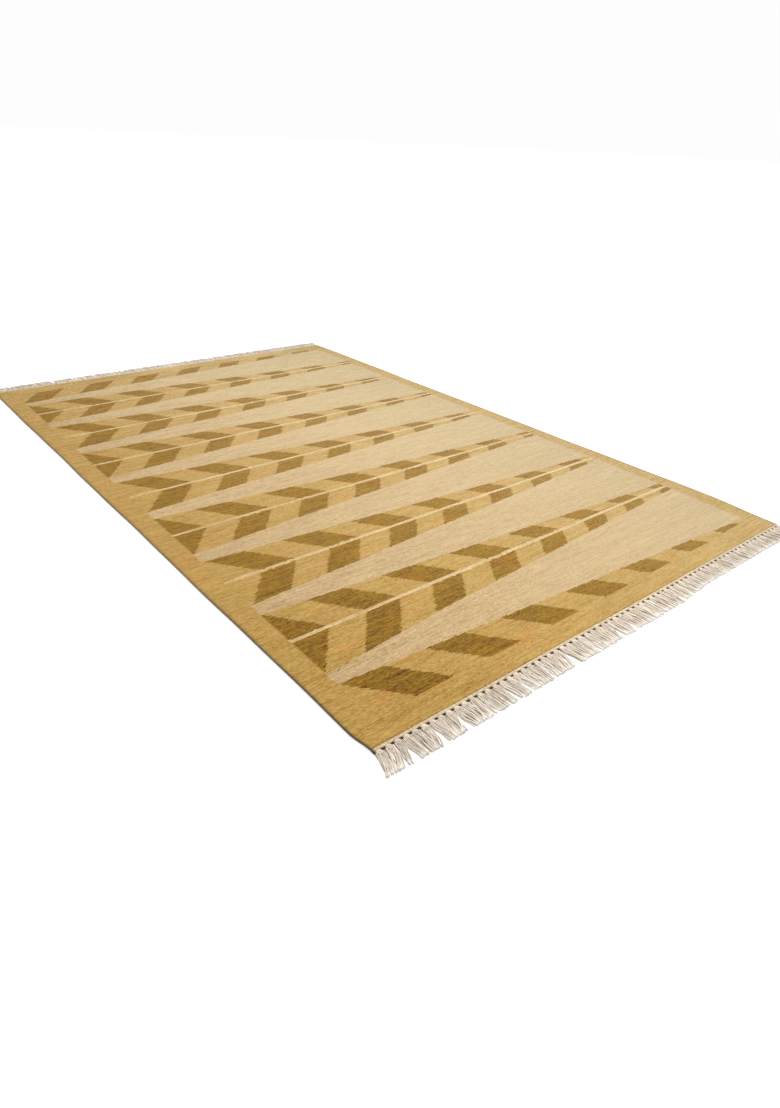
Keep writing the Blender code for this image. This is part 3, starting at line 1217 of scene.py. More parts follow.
    def add_bake_map(self, cloth: bpy.types.Object, flat: np.ndarray, top_faces: int) -> None:
        """Lay the cloth out flat on a map: the top and rim large, the underside in a strip.

        Args:
            cloth: The built cloth.
            flat: The unrolled place of each point of the top and the rim.
            top_faces: How many faces belong to the top and the rim.
        """
        mesh = cloth.data
        corner_points = np.empty(len(mesh.loops), np.int32)
        mesh.loops.foreach_get("vertex_index", corner_points)
        places = np.empty(len(mesh.vertices) * 3, np.float32)
        mesh.vertices.foreach_get("co", places)
        places = places.reshape(-1, 3)[:, :2].astype(float)
        is_top = np.arange(len(mesh.loops)) < mesh.polygons[top_faces].loop_start
        unrolled = places.copy()
        unrolled[: len(flat)] = flat
        spot = np.where(is_top[:, None], unrolled[corner_points], places[corner_points])
        size = np.array([self.outline.width, self.outline.length]) + 2 * self.map_margin
        share = spot / size + 0.5
        strip = (1.0 - self.map_share) * self.strip_share
        u = np.where(is_top, share[:, 0] * self.map_share, 1.0 - share[:, 0] * strip)
        add_map(cloth, BAKE_MAP, np.stack([u, share[:, 1]], axis=1))


@dataclass(frozen=True)
class Parting:
    """A place where the tassels' tips lie apart, by how much, and how far right both sides lean."""

    x: float
    opening: float
    lean: float = 0.0


def part_at(*places: tuple[float, ...]) -> tuple[Parting, ...]:
    """List partings by their x, their opening and the lean of both sides, if any."""
    return tuple(Parting(*place) for place in places)


@dataclass(frozen=True)
class LockSection:
    """A section of the tassels: its reach from the cloth and its fill of the pitch."""

    reach: float
    fill: float


@dataclass(frozen=True)
class FringeLayout:
    """Where every tassel of one fringe lies, as in the part's own solids."""

    outline: ClothOutline
    end: RugEnd
    channel: int
    splay_left: float
    splay_right: float
    partings: tuple[Parting, ...]
    tassels: int = 72
    gap: float = 0.0003
    heading_inset: float = 0.0006
    pitch_drift: float = 0.05
    fork: LockSection = LockSection(0.0160, 0.950)
    middle: LockSection = LockSection(0.0420, 0.945)
    tip: LockSection = LockSection(0.0705, 0.86)
    middle_bend: float = 0.36
    fork_gap: float = 0.0005
    lock_gap: float = 0.0005
    settle_rounds: int = 150
    lean: float = 0.0030
    sway_height: float = 0.0035
    sway_length: float = 0.23
    splay_decay: float = 0.045
    parting_decay: float = 0.035
    lock_drift: float = 0.0010
    lock_thinning: float = 0.14
    trim: float = 0.0016

    @property
    def limits(self) -> tuple[float, float]:
        """Give the x of the heading's two ends."""
        left, right = self.outline.corner_xs(self.end)
        return left + self.heading_inset, right - self.heading_inset

    @property
    def pitch(self) -> float:
        """Give the even distance between two tassels."""
        left, right = self.limits
        return (right - left) / self.tassels

    def uneven(self, index: np.ndarray, trait: Trait) -> np.ndarray:
        """Give this fringe's own uneven values, from -1 to 1, of a trait."""
        return scatter(index, self.channel + trait)

    @property
    def centres(self) -> np.ndarray:
        """Give the x of every tassel's knot."""
        k = np.arange(self.tassels)
        return self.limits[0] + self.pitch * (k + 0.5 + self.pitch_drift * self.uneven(k, Trait.PITCH))

    def at_reach(self, x: np.ndarray, reach: np.ndarray) -> np.ndarray:
        """Give the y that lies so far out from the cloth's edge at x."""
        return self.end.value * (self.outline.end_line(x, self.end) + self.gap + reach)

    def tip_lean(self, x: np.ndarray) -> np.ndarray:
        """Give how far every tassel's tip leans to the right.

        Args:
            x: The tassels' centres.

        Returns:
            The lean of each.
        """
        left, right = self.limits
        lean = self.sway_height * np.sin(math.tau * x / self.sway_length + self.channel)
        lean += self.lean * self.uneven(np.arange(self.tassels), Trait.TIP_LEAN)
        lean += self.splay_right * np.exp((x - right) / self.splay_decay)
        lean -= self.splay_left * np.exp((left - x) / self.splay_decay)
        for parting in self.partings:
            away = x - parting.x
            lean += np.copysign(parting.opening, away) * np.exp(-np.abs(away) / self.parting_decay)
        return lean

    def keep_apart(self, centres: np.ndarray, widths: np.ndarray) -> np.ndarray:
        """Move locks sideways until neighbours clear each other.

        Args:
            centres: Where the locks would lie.
            widths: How wide each is.

        Returns:
            Where they lie.
        """
        settled = centres.tolist()
        needed = ((widths[:-1] + widths[1:]) / 2 + self.lock_gap).tolist()
        for _ in range(self.settle_rounds):
            for i, room in enumerate(needed):
                short = max(0.0, room - (settled[i + 1] - settled[i]))
                settled[i] -= short / 2
                settled[i + 1] += short / 2
        for i, room in enumerate(needed):
            settled[i + 1] = max(settled[i + 1], settled[i] + room)
        return np.array(settled)

    def lock_row(self, section: LockSection, bend: float) -> tuple[np.ndarray, np.ndarray]:
        """Lay out every lock at one section.

        Args:
            section: The section of the tassels.
            bend: How much of the tip's lean is reached there.

        Returns:
            The centre and the width of each lock, two to a tassel.
        """
        k, sides = np.arange(self.tassels)[:, None], np.array([[-1, 1]])
        thinness = self.lock_thinning * bend * (1.0 + self.uneven(k, Trait.LOCK_THINNESS)) / 2
        width = (self.pitch * section.fill * (1.0 - thinness) - self.fork_gap) / 2
        lean = bend * self.tip_lean(self.centres)[:, None]
        drift = bend * self.lock_drift * self.uneven(2 * k + sides, Trait.LOCK_DRIFT)
        wanted = self.centres[:, None] + lean + drift + sides * (width + self.fork_gap) / 2
        widths = np.repeat(width, 2, axis=1).ravel()
        return self.keep_apart(wanted.ravel(), widths), widths


@dataclass
class FringePiece:
    """A piece that follows one fringe's layout."""

    layout: FringeLayout
    name: str
    finish: CottonFinish

    def build_tubes(
        self, points: np.ndarray, is_inside_out: bool, **values: np.ndarray
    ) -> bpy.types.Object:
        """Build closed tubes and dress them.

        Args:
            points: The tubes' points, by tube, ring, place round the ring and axis.
            is_inside_out: Whether the rings run the other way round.
            values: A number for each point, under the attribute's name.

        Returns:
            The piece. The caps at the tubes' ends are the last of its faces.
        """
        tubes, rings, sides = points.shape[:3]
        size = rings * sides
        starts = np.arange(tubes)[:, None, None] * size
        walls = grid_faces(rings, sides, is_ring=True)
        ring = np.arange(sides)
        caps = np.stack([ring[::-1], ring + size - sides])
        turn = -1 if is_inside_out else 1
        draft = MeshDraft(self.name)
        draft.add_points(points, **values)
        draft.add_faces((walls[:, ::turn] + starts).reshape(-1, 4))
        draft.add_faces((caps[:, ::turn] + starts).reshape(-1, sides))
        return draft.build(self.finish.material())


@dataclass
class TwinedBand(FringePiece):
    """Rows of twined cord along the end of the cloth, each slanting against the last."""

    start: float
    cords: int
    cord_width: float
    low: float
    crest: float
    twist: float
    # Painted shade at the band's left end, over so many metres.
    end_shade_length: float = 0.0
    turns_a_knot: int = 6
    arch_power: float = 0.6
    slant: float = 0.9
    uneven: float = 0.10
    wrap_hollow: float = 0.9
    arch_hollow: float = 0.6
    samples_a_turn: int = 4
    samples_a_cord: int = 5

    def build(self) -> bpy.types.Object:
        """Build the band and dress it.

        Returns:
            The band.
        """
        left, right = self.layout.limits
        turns = round((right - left) / self.layout.pitch * self.turns_a_knot)
        turn = (right - left) / turns
        x = np.linspace(left, right, turns * self.samples_a_turn + 1)[:, None]
        share = np.linspace(0.0, self.cords, self.cords * self.samples_a_cord + 1)[None, :]
        arch = np.abs(np.sin(math.pi * share)) ** self.arch_power
        slant = np.where(np.floor(share) % 2 == 0, 1.0, -1.0)
        wrap = np.abs(np.cos(math.pi * (x / turn + slant * (share - 0.5) * self.slant)))
        uneven = self.uneven * scatter(np.floor(x / turn / 2), Trait.CORD_CREST)
        z = self.low + (self.crest - self.low) * arch * (1.0 + uneven)
        z = z - self.twist * (1.0 - wrap) * arch
        y = self.layout.at_reach(x, self.start + share * self.cord_width)
        top = np.stack(np.broadcast_arrays(x, y, z), axis=-1)
        on_floor = top[:, [0, -1]] * (1.0, 1.0, 0.0)
        loop = np.concatenate([on_floor[:, :1], top, on_floor[:, 1:]], axis=1)
        # Painted shade: darker between the wraps, at the low edges of the cords, and on the sides down
        # to the floor.
        depth = (1.0 - wrap) * self.wrap_hollow + (1.0 - arch) * self.arch_hollow
        hollow = np.pad(np.clip(depth, 0.0, 1.0), ((0, 0), (1, 1)), constant_values=1.0)
        tone = scatter(np.floor(x / turn), Trait.CORD_TONE)
        # Painted shade: the band darkens over its last few millimetres at the left end.
        corner_shade = ease(1.0 - (x - left) / self.end_shade_length) if self.end_shade_length else 0.0
        is_far = self.layout.end is RugEnd.FAR
        return self.build_tubes(loop[None], is_far, hollow=hollow, tone=tone, rim=corner_shade)


@dataclass
class TasselKnots(FringePiece):
    """The knots: one wrapped bundle of warp for every tassel."""

    start: float = 0.0064
    stop: float = 0.0168
    rings: int = 18
    sides: int = 18
    neck_fill: float = 0.60
    crest_fill: float = 0.66
    mouth_fill: float = 0.82
    neck_height: float = 0.0044
    crest_height: float = 0.0056
    mouth_height: float = 0.0034
    crest_at: float = 0.45
    wrap_pitch: float = 0.0023
    wrap_depth: float = 0.075
    wrap_slant: float = 1.0
    wrap_hollow: float = 1.1
    slant_split: float = -0.3
    unevenness: float = 0.05

    def build(self) -> bpy.types.Object:
        """Build the knots and dress them.

        Returns:
            All of one fringe's knots.
        """
        layout = self.layout
        k = np.arange(layout.tassels)[:, None, None]
        share = np.linspace(0.0, 1.0, self.rings)[None, :, None]
        around = np.linspace(0.0, math.tau, self.sides, endpoint=False)[None, None, :]
        rise = ease(share / self.crest_at)
        fall = ease((share - self.crest_at) / (1.0 - self.crest_at))
        fill = self.neck_fill + (self.crest_fill - self.neck_fill) * rise
        fill = fill + (self.mouth_fill - self.crest_fill) * fall
        height = self.neck_height + (self.crest_height - self.neck_height) * rise
        height = height + (self.mouth_height - self.crest_height) * fall
        size = 1.0 + self.unevenness * layout.uneven(k, Trait.KNOT_SIZE)
        reach = self.start + (self.stop - self.start) * share

        is_right_slant = layout.uneven(k, Trait.WRAP_LEAN) > self.slant_split
        lean = self.wrap_slant * np.where(is_right_slant, 1.0, -1.0)
        phase = layout.uneven(k, Trait.WRAP_PHASE)
        turn = reach / self.wrap_pitch + lean * np.cos(around) + phase
        wrap = np.abs(np.cos(math.pi * turn))
        swell = 1.0 - self.wrap_depth * (1.0 - wrap)
        centre = layout.centres[:, None, None]
        x = centre + layout.pitch * fill / 2 * size * swell * np.cos(around)
        y = layout.at_reach(centre, reach)
        z = height / 2 * size * (1.0 + swell * np.sin(around))
        points = np.stack(np.broadcast_arrays(x, y, z), axis=-1)
        # Painted shade between the wraps of each knot.
        hollow = np.clip((1.0 - wrap) * self.wrap_hollow, 0.0, 1.0)
        tone = layout.uneven(k, Trait.KNOT_TONE)
        return self.build_tubes(points, layout.end is RugEnd.FAR, hollow=hollow, tone=tone)


@dataclass
class TasselYarns(FringePiece):
    """The loose plied yarns of every tassel, seven to a lock, lying on the floor.

    Three yarns of a lock lie on the floor and four on top of them. Yarns of one clump, or bunch,
    bend together.
    """

    partings: tuple[Parting, ...]
    corner_splay: float
    right_trim: float
    lateral: tuple[float, ...] = (-0.48, 0.0, 0.48, -0.36, -0.15, 0.15, 0.36)
    layer: tuple[int, ...] = (0, 0, 0, 1, 1, 1, 1)
    clump: tuple[int, ...] = (0, 1, 2, 3, 3, 4, 4)
    clump_stride: int = 9
    channel_stride: int = 7
    radius: float = 0.00098
    thickness_drift: float = 0.10
    side_drift: float = 0.03
    start: float = 0.0130
    points: int = 16
    sides: int = 6
    slow_rise: float = 2.0
    quick_rise: float = 3.0
    waves: float = 0.9
    wave_drift: float = 0.5
    ripple: float = 0.0014
    ripple_drift: float = 0.6
    ripple_rise: float = 1.6
    stray: float = 0.0024
    stray_lift: float = 0.6
    own_ripple: float = 0.0003
    own_waves: float = 1.4
    layer_lift: float = 0.00150
    layer_sink: float = 0.30
    mouth_lift: float = 0.0006
    mouth_rise: float = 5.0
    waver: float = 0.00022
    waver_waves: float = 1.7
    floor_clearance: float = 0.00005
    gather: float = 0.09
    trim: float = 0.0026
    trim_power: float = 1.6
    right_trim_from: float = 0.14
    right_trim_reach: float = 0.18
    frayed: float = 0.55
    frayed_from: float = 0.69
    frayed_growth: float = 0.40
    growth_rise: Rise = (0.40, 0.95)
    cut_taper: float = 0.70
    outer_shade: float = 0.66
    outer_shade_rise: Rise = (0.15, 0.60)
    aside_power: float = 1.6
    under_follow: float = 0.60
    bare_white: float = 0.88
    bare_reach: float = 0.0150
    bare_growth: float = 0.50
    parting_decay: float = 0.024
    corner_decay: float = 0.060
    own_tone: float = 0.6
    bunch_tan: float = 0.30
    bunch_tone: float = 0.75

    def own(self, index: np.ndarray, trait: Trait) -> np.ndarray:
        """Give these yarns' own uneven values, from -1 to 1, of a trait."""
        return scatter(index, self.layout.channel * self.channel_stride + trait)

    def reaches(self, lock: np.ndarray, tip_x: np.ndarray, share: np.ndarray) -> np.ndarray:
        """Give how far out from the cloth each yarn's points lie.

        Args:
            lock: The lock of each yarn.
            tip_x: Where the tip of each yarn's lock lies.
            share: The places along a yarn.

        Returns:
            The distances, by yarn and place.
        """
        tip = self.layout.tip.reach + self.layout.trim * self.layout.uneven(lock, Trait.LOCK_TRIM)
        cut = 0.5 + 0.5 * self.own(np.arange(len(lock)), Trait.YARN_TRIM)
        tip = tip - self.trim * cut**self.trim_power
        tip = tip - self.right_trim * ease((tip_x - self.right_trim_from) / self.right_trim_reach)
        return self.start + (tip[:, None] - self.start) * share

    def bends(self, bunch: np.ndarray, is_stray: np.ndarray, share: np.ndarray) -> np.ndarray:
        """Give how far aside each yarn bends from a straight one.

        Args:
            bunch: The bunch of each yarn.
            is_stray: Whether each yarn's bunch strays from its lock.
            share: The places along a yarn.

        Returns:
            The distances to the right, by yarn and place.
        """
        bunch = bunch[:, None]
        waves = self.waves + self.wave_drift * self.own(bunch, Trait.BUNCH_WAVES)
        phase = math.pi * self.own(bunch, Trait.BUNCH_PHASE)
        ripple = self.ripple * (1.0 + self.ripple_drift * self.own(bunch, Trait.BUNCH_RIPPLE))
        bend = ripple * (np.sin(math.tau * waves * share + phase) - np.sin(phase))
        bend = bend * ease(share * self.ripple_rise)
        side = np.sign(self.own(bunch, Trait.STRAY_SIDE))
        bow = np.sin(math.pi * share) * ease(share * self.slow_rise)
        bend = bend + is_stray * side * self.stray * bow
        turn = self.own_waves * share + self.own(np.arange(len(bunch)), Trait.YARN_RIPPLE)[:, None]
        return bend + self.own_ripple * np.sin(math.tau * turn) * ease(share * self.quick_rise)

    def heights(self, bunch: np.ndarray, level: np.ndarray, share: np.ndarray) -> np.ndarray:
        """Give the height of each yarn's middle line.

        Args:
            bunch: The bunch of each yarn.
            level: How many layers up each yarn lies.
            share: The places along a yarn.

        Returns:
            The heights, by yarn and place.
        """
        phase = math.pi * self.own(bunch[:, None], Trait.BUNCH_PHASE)
        sink = 1.0 - self.layer_sink * ease(share)
        mouth = 1.0 - ease(share * self.mouth_rise)
        lift = level * self.layer_lift * sink + self.mouth_lift * mouth
        wave = 1.0 + np.sin(math.tau * self.waver_waves * share + 2.0 * phase)
        return self.radius + lift + self.waver * wave * ease(share * self.quick_rise)

    def paths(self) -> np.ndarray:
        """Lay every yarn from its knot to its cut tip.

        Returns:
            The points of each yarn, by yarn, place and axis.
        """
        layout = self.layout
        bends = {layout.fork: 0.0, layout.middle: layout.middle_bend, layout.tip: 1.0}
        rows = [layout.lock_row(section, bend) for section, bend in bends.items()]
        marks = [section.reach for section in bends]
        locks, each = 2 * layout.tassels, len(self.lateral)
        lock = np.repeat(np.arange(locks), each)
        bunch = lock * each + np.tile(self.clump, locks)
        is_upper = np.tile(self.layer, locks) > 0
        is_stray = (is_upper & (self.own(bunch, Trait.BUNCH_STRAYS) > 0.0))[:, None]
        share = np.linspace(0.0, 1.0, self.points)[None, :]
        reach = self.reaches(lock, rows[-1][0][lock], share)

        centre, width = (self.through(marks, [row[i][lock] for row in rows], reach) for i in (0, 1))
        gather = self.gather * (1.0 + self.own(lock, Trait.LOCK_GATHER))[:, None] * ease(share)
        drift = self.side_drift * self.own(np.arange(len(lock)), Trait.YARN_SIDE)
        side = np.tile(self.lateral, locks) + drift
        x = centre + side[:, None] * (width * (1.0 - gather))
        x = x + self.bends(bunch, is_stray, share)
        follow = np.where(is_upper, 1.0, self.under_follow)
        x = x + (follow * self.opening(x[:, -1]))[:, None] * share**self.aside_power
        y = layout.at_reach(x, reach)
        z = self.heights(bunch, is_upper[:, None] + self.stray_lift * is_stray, share)
        return np.stack([x, y, z], axis=-1)

    def opening(self, tip_x: np.ndarray) -> np.ndarray:
        """Give how far loose yarns lie aside of where a neat fringe has them.

        Args:
            tip_x: The x of each yarn's tip in a neat fringe.

        Returns:
            How far to the right each tip lies.
        """
        aside = -self.corner_splay * np.exp((self.layout.limits[0] - tip_x) / self.corner_decay)
        for parting in self.partings:
            away = tip_x - parting.x
            decay = np.exp(-np.abs(away) / self.parting_decay)
            aside = aside + (parting.lean + np.copysign(parting.opening, away)) * decay
        return aside

    def bareness(self, tip_x: np.ndarray) -> np.ndarray:
        """Give how near each tip is to a parting, where only lower yarns lie, from 0 to 1."""
        away = np.min([np.abs(tip_x - parting.x) for parting in self.partings], axis=0)
        return np.exp(-away / self.bare_reach)

    def through(
        self, marks: Sequence[float], values: Sequence[np.ndarray], place: np.ndarray
    ) -> np.ndarray:
        """Draw a smooth curve through three marks.

        Args:
            marks: Where the three marks are.
            values: Each yarn's value at every mark.
            place: Where the curves are read, by yarn.

        Returns:
            The curves' values.
        """
        a, b, c = marks
        at_a, at_b, at_c = (value[:, None] for value in values)
        held = np.maximum(place, a)
        return (
            at_a * (held - b) * (held - c) / ((a - b) * (a - c))
            + at_b * (held - a) * (held - c) / ((b - a) * (b - c))
            + at_c * (held - a) * (held - b) / ((c - a) * (c - b))
        )

    def rings(self, paths: np.ndarray, thickness: np.ndarray) -> np.ndarray:
        """Put a ring of points round every place of every yarn.

        Args:
            paths: The yarns' middle lines.
            thickness: The radius of each yarn at each place.

        Returns:
            The points, by yarn, place, side and axis.
        """
        ahead = np.gradient(paths, axis=1)
        ahead /= np.linalg.norm(ahead, axis=-1, keepdims=True)
        beside = np.cross(ahead, np.array([0.0, 0.0, 1.0]))
        beside /= np.linalg.norm(beside, axis=-1, keepdims=True)
        above = np.cross(beside, ahead)
        turn = np.linspace(0.0, math.tau, self.sides, endpoint=False)[:, None]
        spokes = beside[:, :, None] * np.cos(turn) + above[:, :, None] * np.sin(turn)
        rings = paths[:, :, None] + thickness[:, :, None, None] * spokes
        rings[..., 2] = np.maximum(rings[..., 2], self.floor_clearance)
        return rings

    def build(self) -> bpy.types.Object:
        """Build the yarns and dress them.

        Returns:
            All of one fringe's yarns.
        """
        paths = self.paths()
        yarns, places = paths.shape[:2]
        yarn, locks = np.arange(yarns), yarns // len(self.clump)
        bunch = (np.arange(locks)[:, None] * self.clump_stride + np.array(self.clump)).ravel()
        along = np.linspace(0.0, 1.0, places)[None, :]
        is_under = np.tile(self.layer, locks) == 0
        bare = (is_under * self.bareness(paths[:, -1, 0]))[:, None]
        low, high = self.growth_rise
        taper = 1.0 + self.frayed_growth * ease((along - low) / (high - low))
        taper[:, -1] *= self.cut_taper
        taper = taper * (1.0 + self.bare_growth * bare * ease(along * self.slow_rise))
        drift = self.thickness_drift * scatter(yarn, Trait.YARN_THICKNESS)
        rings = self.rings(paths, (self.radius * (1.0 + drift))[:, None] * taper)

        tip = ease((along - self.frayed_from) / (1.0 - self.frayed_from))
        # Painted shade: the yarns darken outwards from the knots, and lighten again where they fray.
        low, high = self.outer_shade_rise
        deep = self.outer_shade * ease((along - low) / (high - low)) * (1.0 - tip)
        tone = self.own_tone * self.layout.uneven(yarn, Trait.YARN_TONE)
        tone = tone + self.bunch_tone * self.layout.uneven(bunch, Trait.BUNCH_TONE)
        tan = self.bunch_tan * (1.0 - self.layout.uneven(bunch, Trait.BUNCH_TAN))
        white = self.bare_white * bare * ease(along * self.quick_rise)
        # Lower yarns take the full painted shade of lying under the upper ones; upper yarns a random
        # tan by bunch.
        piece = self.build_tubes(
            rings,
            is_inside_out=True,
            hollow=np.where(is_under, 1.0, tan)[:, None, None],
            tone=(tone[:, None] - deep)[..., None],
            frayed=np.maximum(self.frayed * tip, white)[..., None],
        )
        add_map(piece, PLY_MAP, self.ply_places(paths))
        return piece

    def ply_places(self, paths: np.ndarray) -> np.ndarray:
        """Map every yarn: the turn round it, and the length along it in metres.

        Args:
            paths: The yarns' points.

        Returns:
            A place for each corner of each face, the cut ends last.
        """
        yarns = len(paths)
        steps = np.linalg.norm(np.diff(paths, axis=1), axis=-1)
        length = np.concatenate([np.zeros((yarns, 1)), np.cumsum(steps, axis=1)], axis=1)
        side = np.arange(self.sides)
        here, there = side / self.sides, (side + 1) / self.sides
        low, high = length[:, :-1, None], length[:, 1:, None]
        u = np.stack([here, there, there, here], axis=-1)[:, ::-1]
        v = np.stack([high, high, low, low], axis=-1)
        walls = np.stack(np.broadcast_arrays(u[None, None], v), axis=-1).reshape(-1, 2)
        return np.concatenate([walls, np.zeros((2 * yarns * self.sides, 2))])


@dataclass
class Fringe:
    """One knotted fringe: heading, a dark cord of painted shade between the knots, knots and yarns."""

    layout: FringeLayout
    partings: tuple[Parting, ...]
    corner_splay: float
    right_trim: float

    @property
    def label(self) -> str:
        """Give the end's name in lower case."""
        return self.layout.end.name.lower()

    def build(self) -> list[bpy.types.Object]:
        """Build the fringe's pieces and tie them to the frame.

        Returns:
            The pieces, from the cloth outwards.
        """
        heading = TwinedBand(
            self.layout,
            f"heading_{self.label}",
            CottonFinish(f"cotton_heading_{self.label}", Colour.HEADING),
            start=0.0,
            cords=2,
            cord_width=0.0035,
            low=0.0042,
            crest=0.0052,
            twist=0.0009,
            end_shade_length=0.0080,
        )
        # A dark cord low under the knots paints the shade in the gaps between them.
        shade_cord = TwinedBand(
            self.layout,
            f"binding_{self.label}",
            CottonFinish(f"shade_cord_cotton_{self.label}", Colour.BINDING, Colour.BINDING),
            start=0.0072,
            cords=3,
            cord_width=0.0030,
            low=0.0012,
            crest=0.0024,
            twist=0.0005,
        )
        knots = TasselKnots(
            self.layout,
            f"knots_{self.label}",
            CottonFinish(f"cotton_knot_{self.label}", Colour.KNOT),
        )
        yarns = TasselYarns(
            self.layout,
            f"yarns_{self.label}",
            CottonFinish(f"cotton_ply_{self.label}", is_plied=True),
            partings=self.partings,
            corner_splay=self.corner_splay,
            right_trim=self.right_trim,
        )
        pieces = [maker.build() for maker in (heading, shade_cord, knots, yarns)]
        for piece in pieces:
            tie(piece, f"fringe_{self.label}", MaterialSlot.COTTON)
        return pieces


@dataclass(frozen=True)
class PhotographCamera:
    """The camera, where the photograph was taken from."""

    place: Spot = (-1.4128, -1.9998, 0.9779)
    azimuth: float = 49.374
    pitch: float = -29.829
    roll: float = 2.710
    lens: float = 23.518
    sensor: float = 36.0
    sight: float = 500.0

    def build(self) -> bpy.types.Object:
        """Build the camera and look through it.

        Returns:
            The camera.
        """
        azimuth, pitch, roll = map(math.radians, (self.azimuth, self.pitch, self.roll))
        level = math.cos(pitch)
        forward = Vector((math.cos(azimuth) * level, math.sin(azimuth) * level, math.sin(pitch)))
        flat_right = forward.cross(Vector((0.0, 0.0, 1.0))).normalized()
        flat_up = flat_right.cross(forward)
        right = flat_right * math.cos(roll) + flat_up * math.sin(roll)
        up = flat_up * math.cos(roll) - flat_right * math.sin(roll)
        turn = Matrix((right, up, -forward)).transposed().to_4x4()
        data = bpy.data.cameras.new("camera")
        data.lens = self.lens
        data.sensor_width = self.sensor
        data.clip_end = self.sight
        camera = bpy.data.objects.new("camera", data)
        camera.matrix_world = Matrix.Translation(self.place) @ turn
        bpy.context.scene.collection.objects.link(camera)
        bpy.context.scene.camera = camera
        return camera


@dataclass(frozen=True)
class Lamp:
    """A light of the studio, aimed at a spot on the floor."""

    name: str
    place: Spot
    aim: Spot

    def hang(self, kind: str, **settings: float | str) -> bpy.types.Object:
        """Hang a light of one kind, out of the camera's sight.

        Args:
            kind: Blender's name for the kind.
            settings: What is set on the light.

        Returns:
            The light.
        """
        data = bpy.data.lights.new(self.name, kind)
        for name, value in settings.items():
            setattr(data, name, value)
        lamp = bpy.data.objects.new(self.name, data)
        down = Vector(self.aim) - Vector(self.place)
        lamp.location = self.place
        lamp.rotation_euler = down.to_track_quat("-Z", "Y").to_euler()
        lamp.visible_camera = False
        bpy.context.scene.collection.objects.link(lamp)
        return lamp


@dataclass(frozen=True)
class Softbox(Lamp):
    """A lamp with an even, oblong face."""

    watts: float
    width: float
    length: float

    def build(self) -> bpy.types.Object:
        """Hang the lamp."""
        face = {"shape": "RECTANGLE", "size": self.width, "size_y": self.length}
        return self.hang("AREA", energy=self.watts, **face)


@dataclass(frozen=True)
class Daylight(Lamp):
    """A wide soft light that falls alike on the whole floor."""

    strength: float
    spread: float

    def build(self) -> bpy.types.Object:
        """Hang the light."""
        return self.hang("SUN", energy=self.strength, angle=math.radians(self.spread))


@dataclass(frozen=True)
class Studio:
    """A pale floor that runs into a white room, with soft light from above and from the far right."""

    floor_half: float = 150.0
    floor_drop: float = 0.0001
    room_white: float = 0.985
    fill: float = 0.55
    daylight: Daylight = Daylight("daylight", (3.0, 3.0, 2.6), (0.0, 0.0, 0.0), 2.40, 56.0)
    softbox: Softbox = Softbox("softbox", (0.26, -0.25, 1.08), (0.26, -0.25, 0.0), 16.5, 1.34, 3.42)

    def build_floor(self) -> bpy.types.Object:
        """Lay the floor just under the rug.

        Returns:
            The floor.
        """
        draft = MeshDraft("floor")
        half = self.floor_half
        corners = [(-half, -half, 0.0), (half, -half, 0.0), (half, half, 0.0), (-half, half, 0.0)]
        draft.add_points(np.array(corners))
        draft.add_faces([[0, 1, 2, 3]])
        floor = draft.build(FloorFinish().material())
        floor.location.z = -self.floor_drop
        return floor

    def light_room(self) -> None:
        """Fill the room with even light, under a background that stays white."""
        world = bpy.data.worlds.new("white_room")
        world.use_nodes = True
        tree = world.node_tree
        background = tree.nodes["Background"]
        background.inputs["Color"].default_value = (1.0, 1.0, 1.0, 1.0)
        ray = tree.nodes.new("ShaderNodeLightPath")
        strength = tree.nodes.new("ShaderNodeMapRange")
        strength.inputs["To Min"].default_value = self.fill
        strength.inputs["To Max"].default_value = self.room_white
        tree.links.new(ray.outputs["Is Camera Ray"], strength.inputs["Value"])
        tree.links.new(strength.outputs[0], background.inputs["Strength"])
        bpy.context.scene.world = world

    def build(self) -> None:
        """Build the studio."""
        self.build_floor()
        self.light_room()
        self.daylight.build()
        self.softbox.build()
        bpy.context.scene.view_settings.view_transform = "Standard"


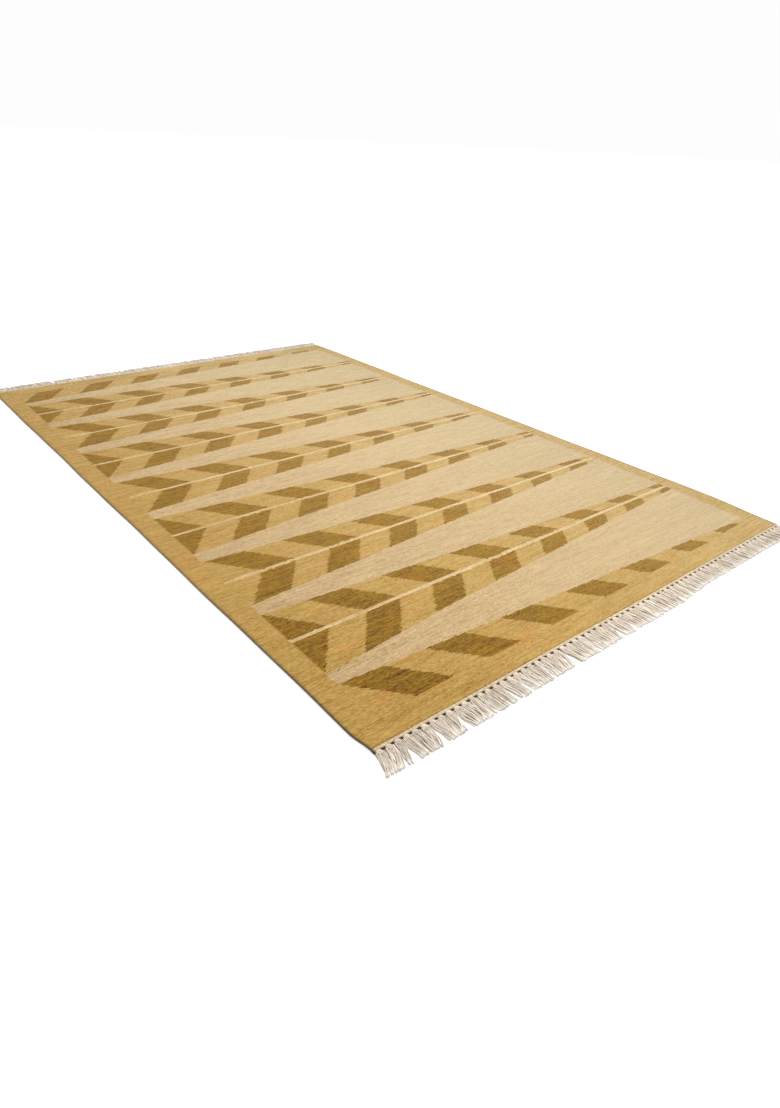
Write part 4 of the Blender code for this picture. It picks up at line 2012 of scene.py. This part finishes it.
@dataclass
class DhurrieRug:
    """The whole rug: the cloth and a fringe at each end."""

    outline: ClothOutline = field(default_factory=ClothOutline)
    near_partings: tuple[Parting, ...] = part_at(
        (-0.741, 0.0060), (-0.661, 0.0050), (-0.606, 0.0035), (-0.432, 0.0040),
        (-0.268, 0.0055), (-0.035, 0.0035), (0.214, 0.0045), (0.492, 0.0040),
    )
    far_partings: tuple[Parting, ...] = part_at(
        (-0.520, 0.0045), (-0.250, 0.0040), (0.095, 0.0050), (0.330, 0.0040), (0.610, 0.0055),
    )
    near_yarn_partings: tuple[Parting, ...] = part_at(
        (-0.736, 0.0130, -0.0050), (-0.662, 0.0130, -0.0040), (-0.603, 0.0130, -0.0020),
        (-0.525, 0.0040), (-0.462, 0.0100), (-0.412, 0.0030), (-0.345, 0.0030),
        (-0.276, 0.0090), (-0.190, 0.0030), (-0.102, 0.0110), (-0.050, 0.0070),
        (0.010, 0.0030), (0.066, 0.0040), (0.162, 0.0040), (0.205, 0.0040),
        (0.300, 0.0030), (0.440, 0.0030), (0.580, 0.0030),
    )
    far_yarn_partings: tuple[Parting, ...] = part_at(
        (-0.660, 0.0060), (-0.560, 0.0050), (-0.470, 0.0060), (-0.380, 0.0050),
        (-0.300, 0.0045), (-0.160, 0.0060), (-0.060, 0.0045), (0.030, 0.0050),
        (0.180, 0.0050), (0.260, 0.0045), (0.420, 0.0050), (0.520, 0.0050),
        (0.700, 0.0045),
    )

    def build(self) -> None:
        cloth = WovenCloth(self.outline).build()
        tie(cloth, "rug", MaterialSlot.WOOL)
        near = FringeLayout(
            self.outline,
            RugEnd.NEAR,
            channel=1,
            splay_left=0.0125,
            splay_right=0.0080,
            partings=self.near_partings,
        )
        far = FringeLayout(
            self.outline,
            RugEnd.FAR,
            channel=2,
            splay_left=0.0060,
            splay_right=0.0190,
            partings=self.far_partings,
        )
        fringes = (
            Fringe(near, self.near_yarn_partings, corner_splay=0.0040, right_trim=0.0095),
            Fringe(far, self.far_yarn_partings, corner_splay=0.0, right_trim=0.0),
        )
        trimmings = [piece for fringe in fringes for piece in fringe.build()]


def main() -> None:
    """Build the studio, the camera and the rug in order."""
    logging.basicConfig(level=logging.INFO, format="%(name)s: %(message)s")
    Studio().build()
    LOG.info("studio ready")
    PhotographCamera().build()
    LOG.info("camera ready")
    DhurrieRug().build()
    LOG.info("rug ready")


if __name__ == "__main__":
    main()
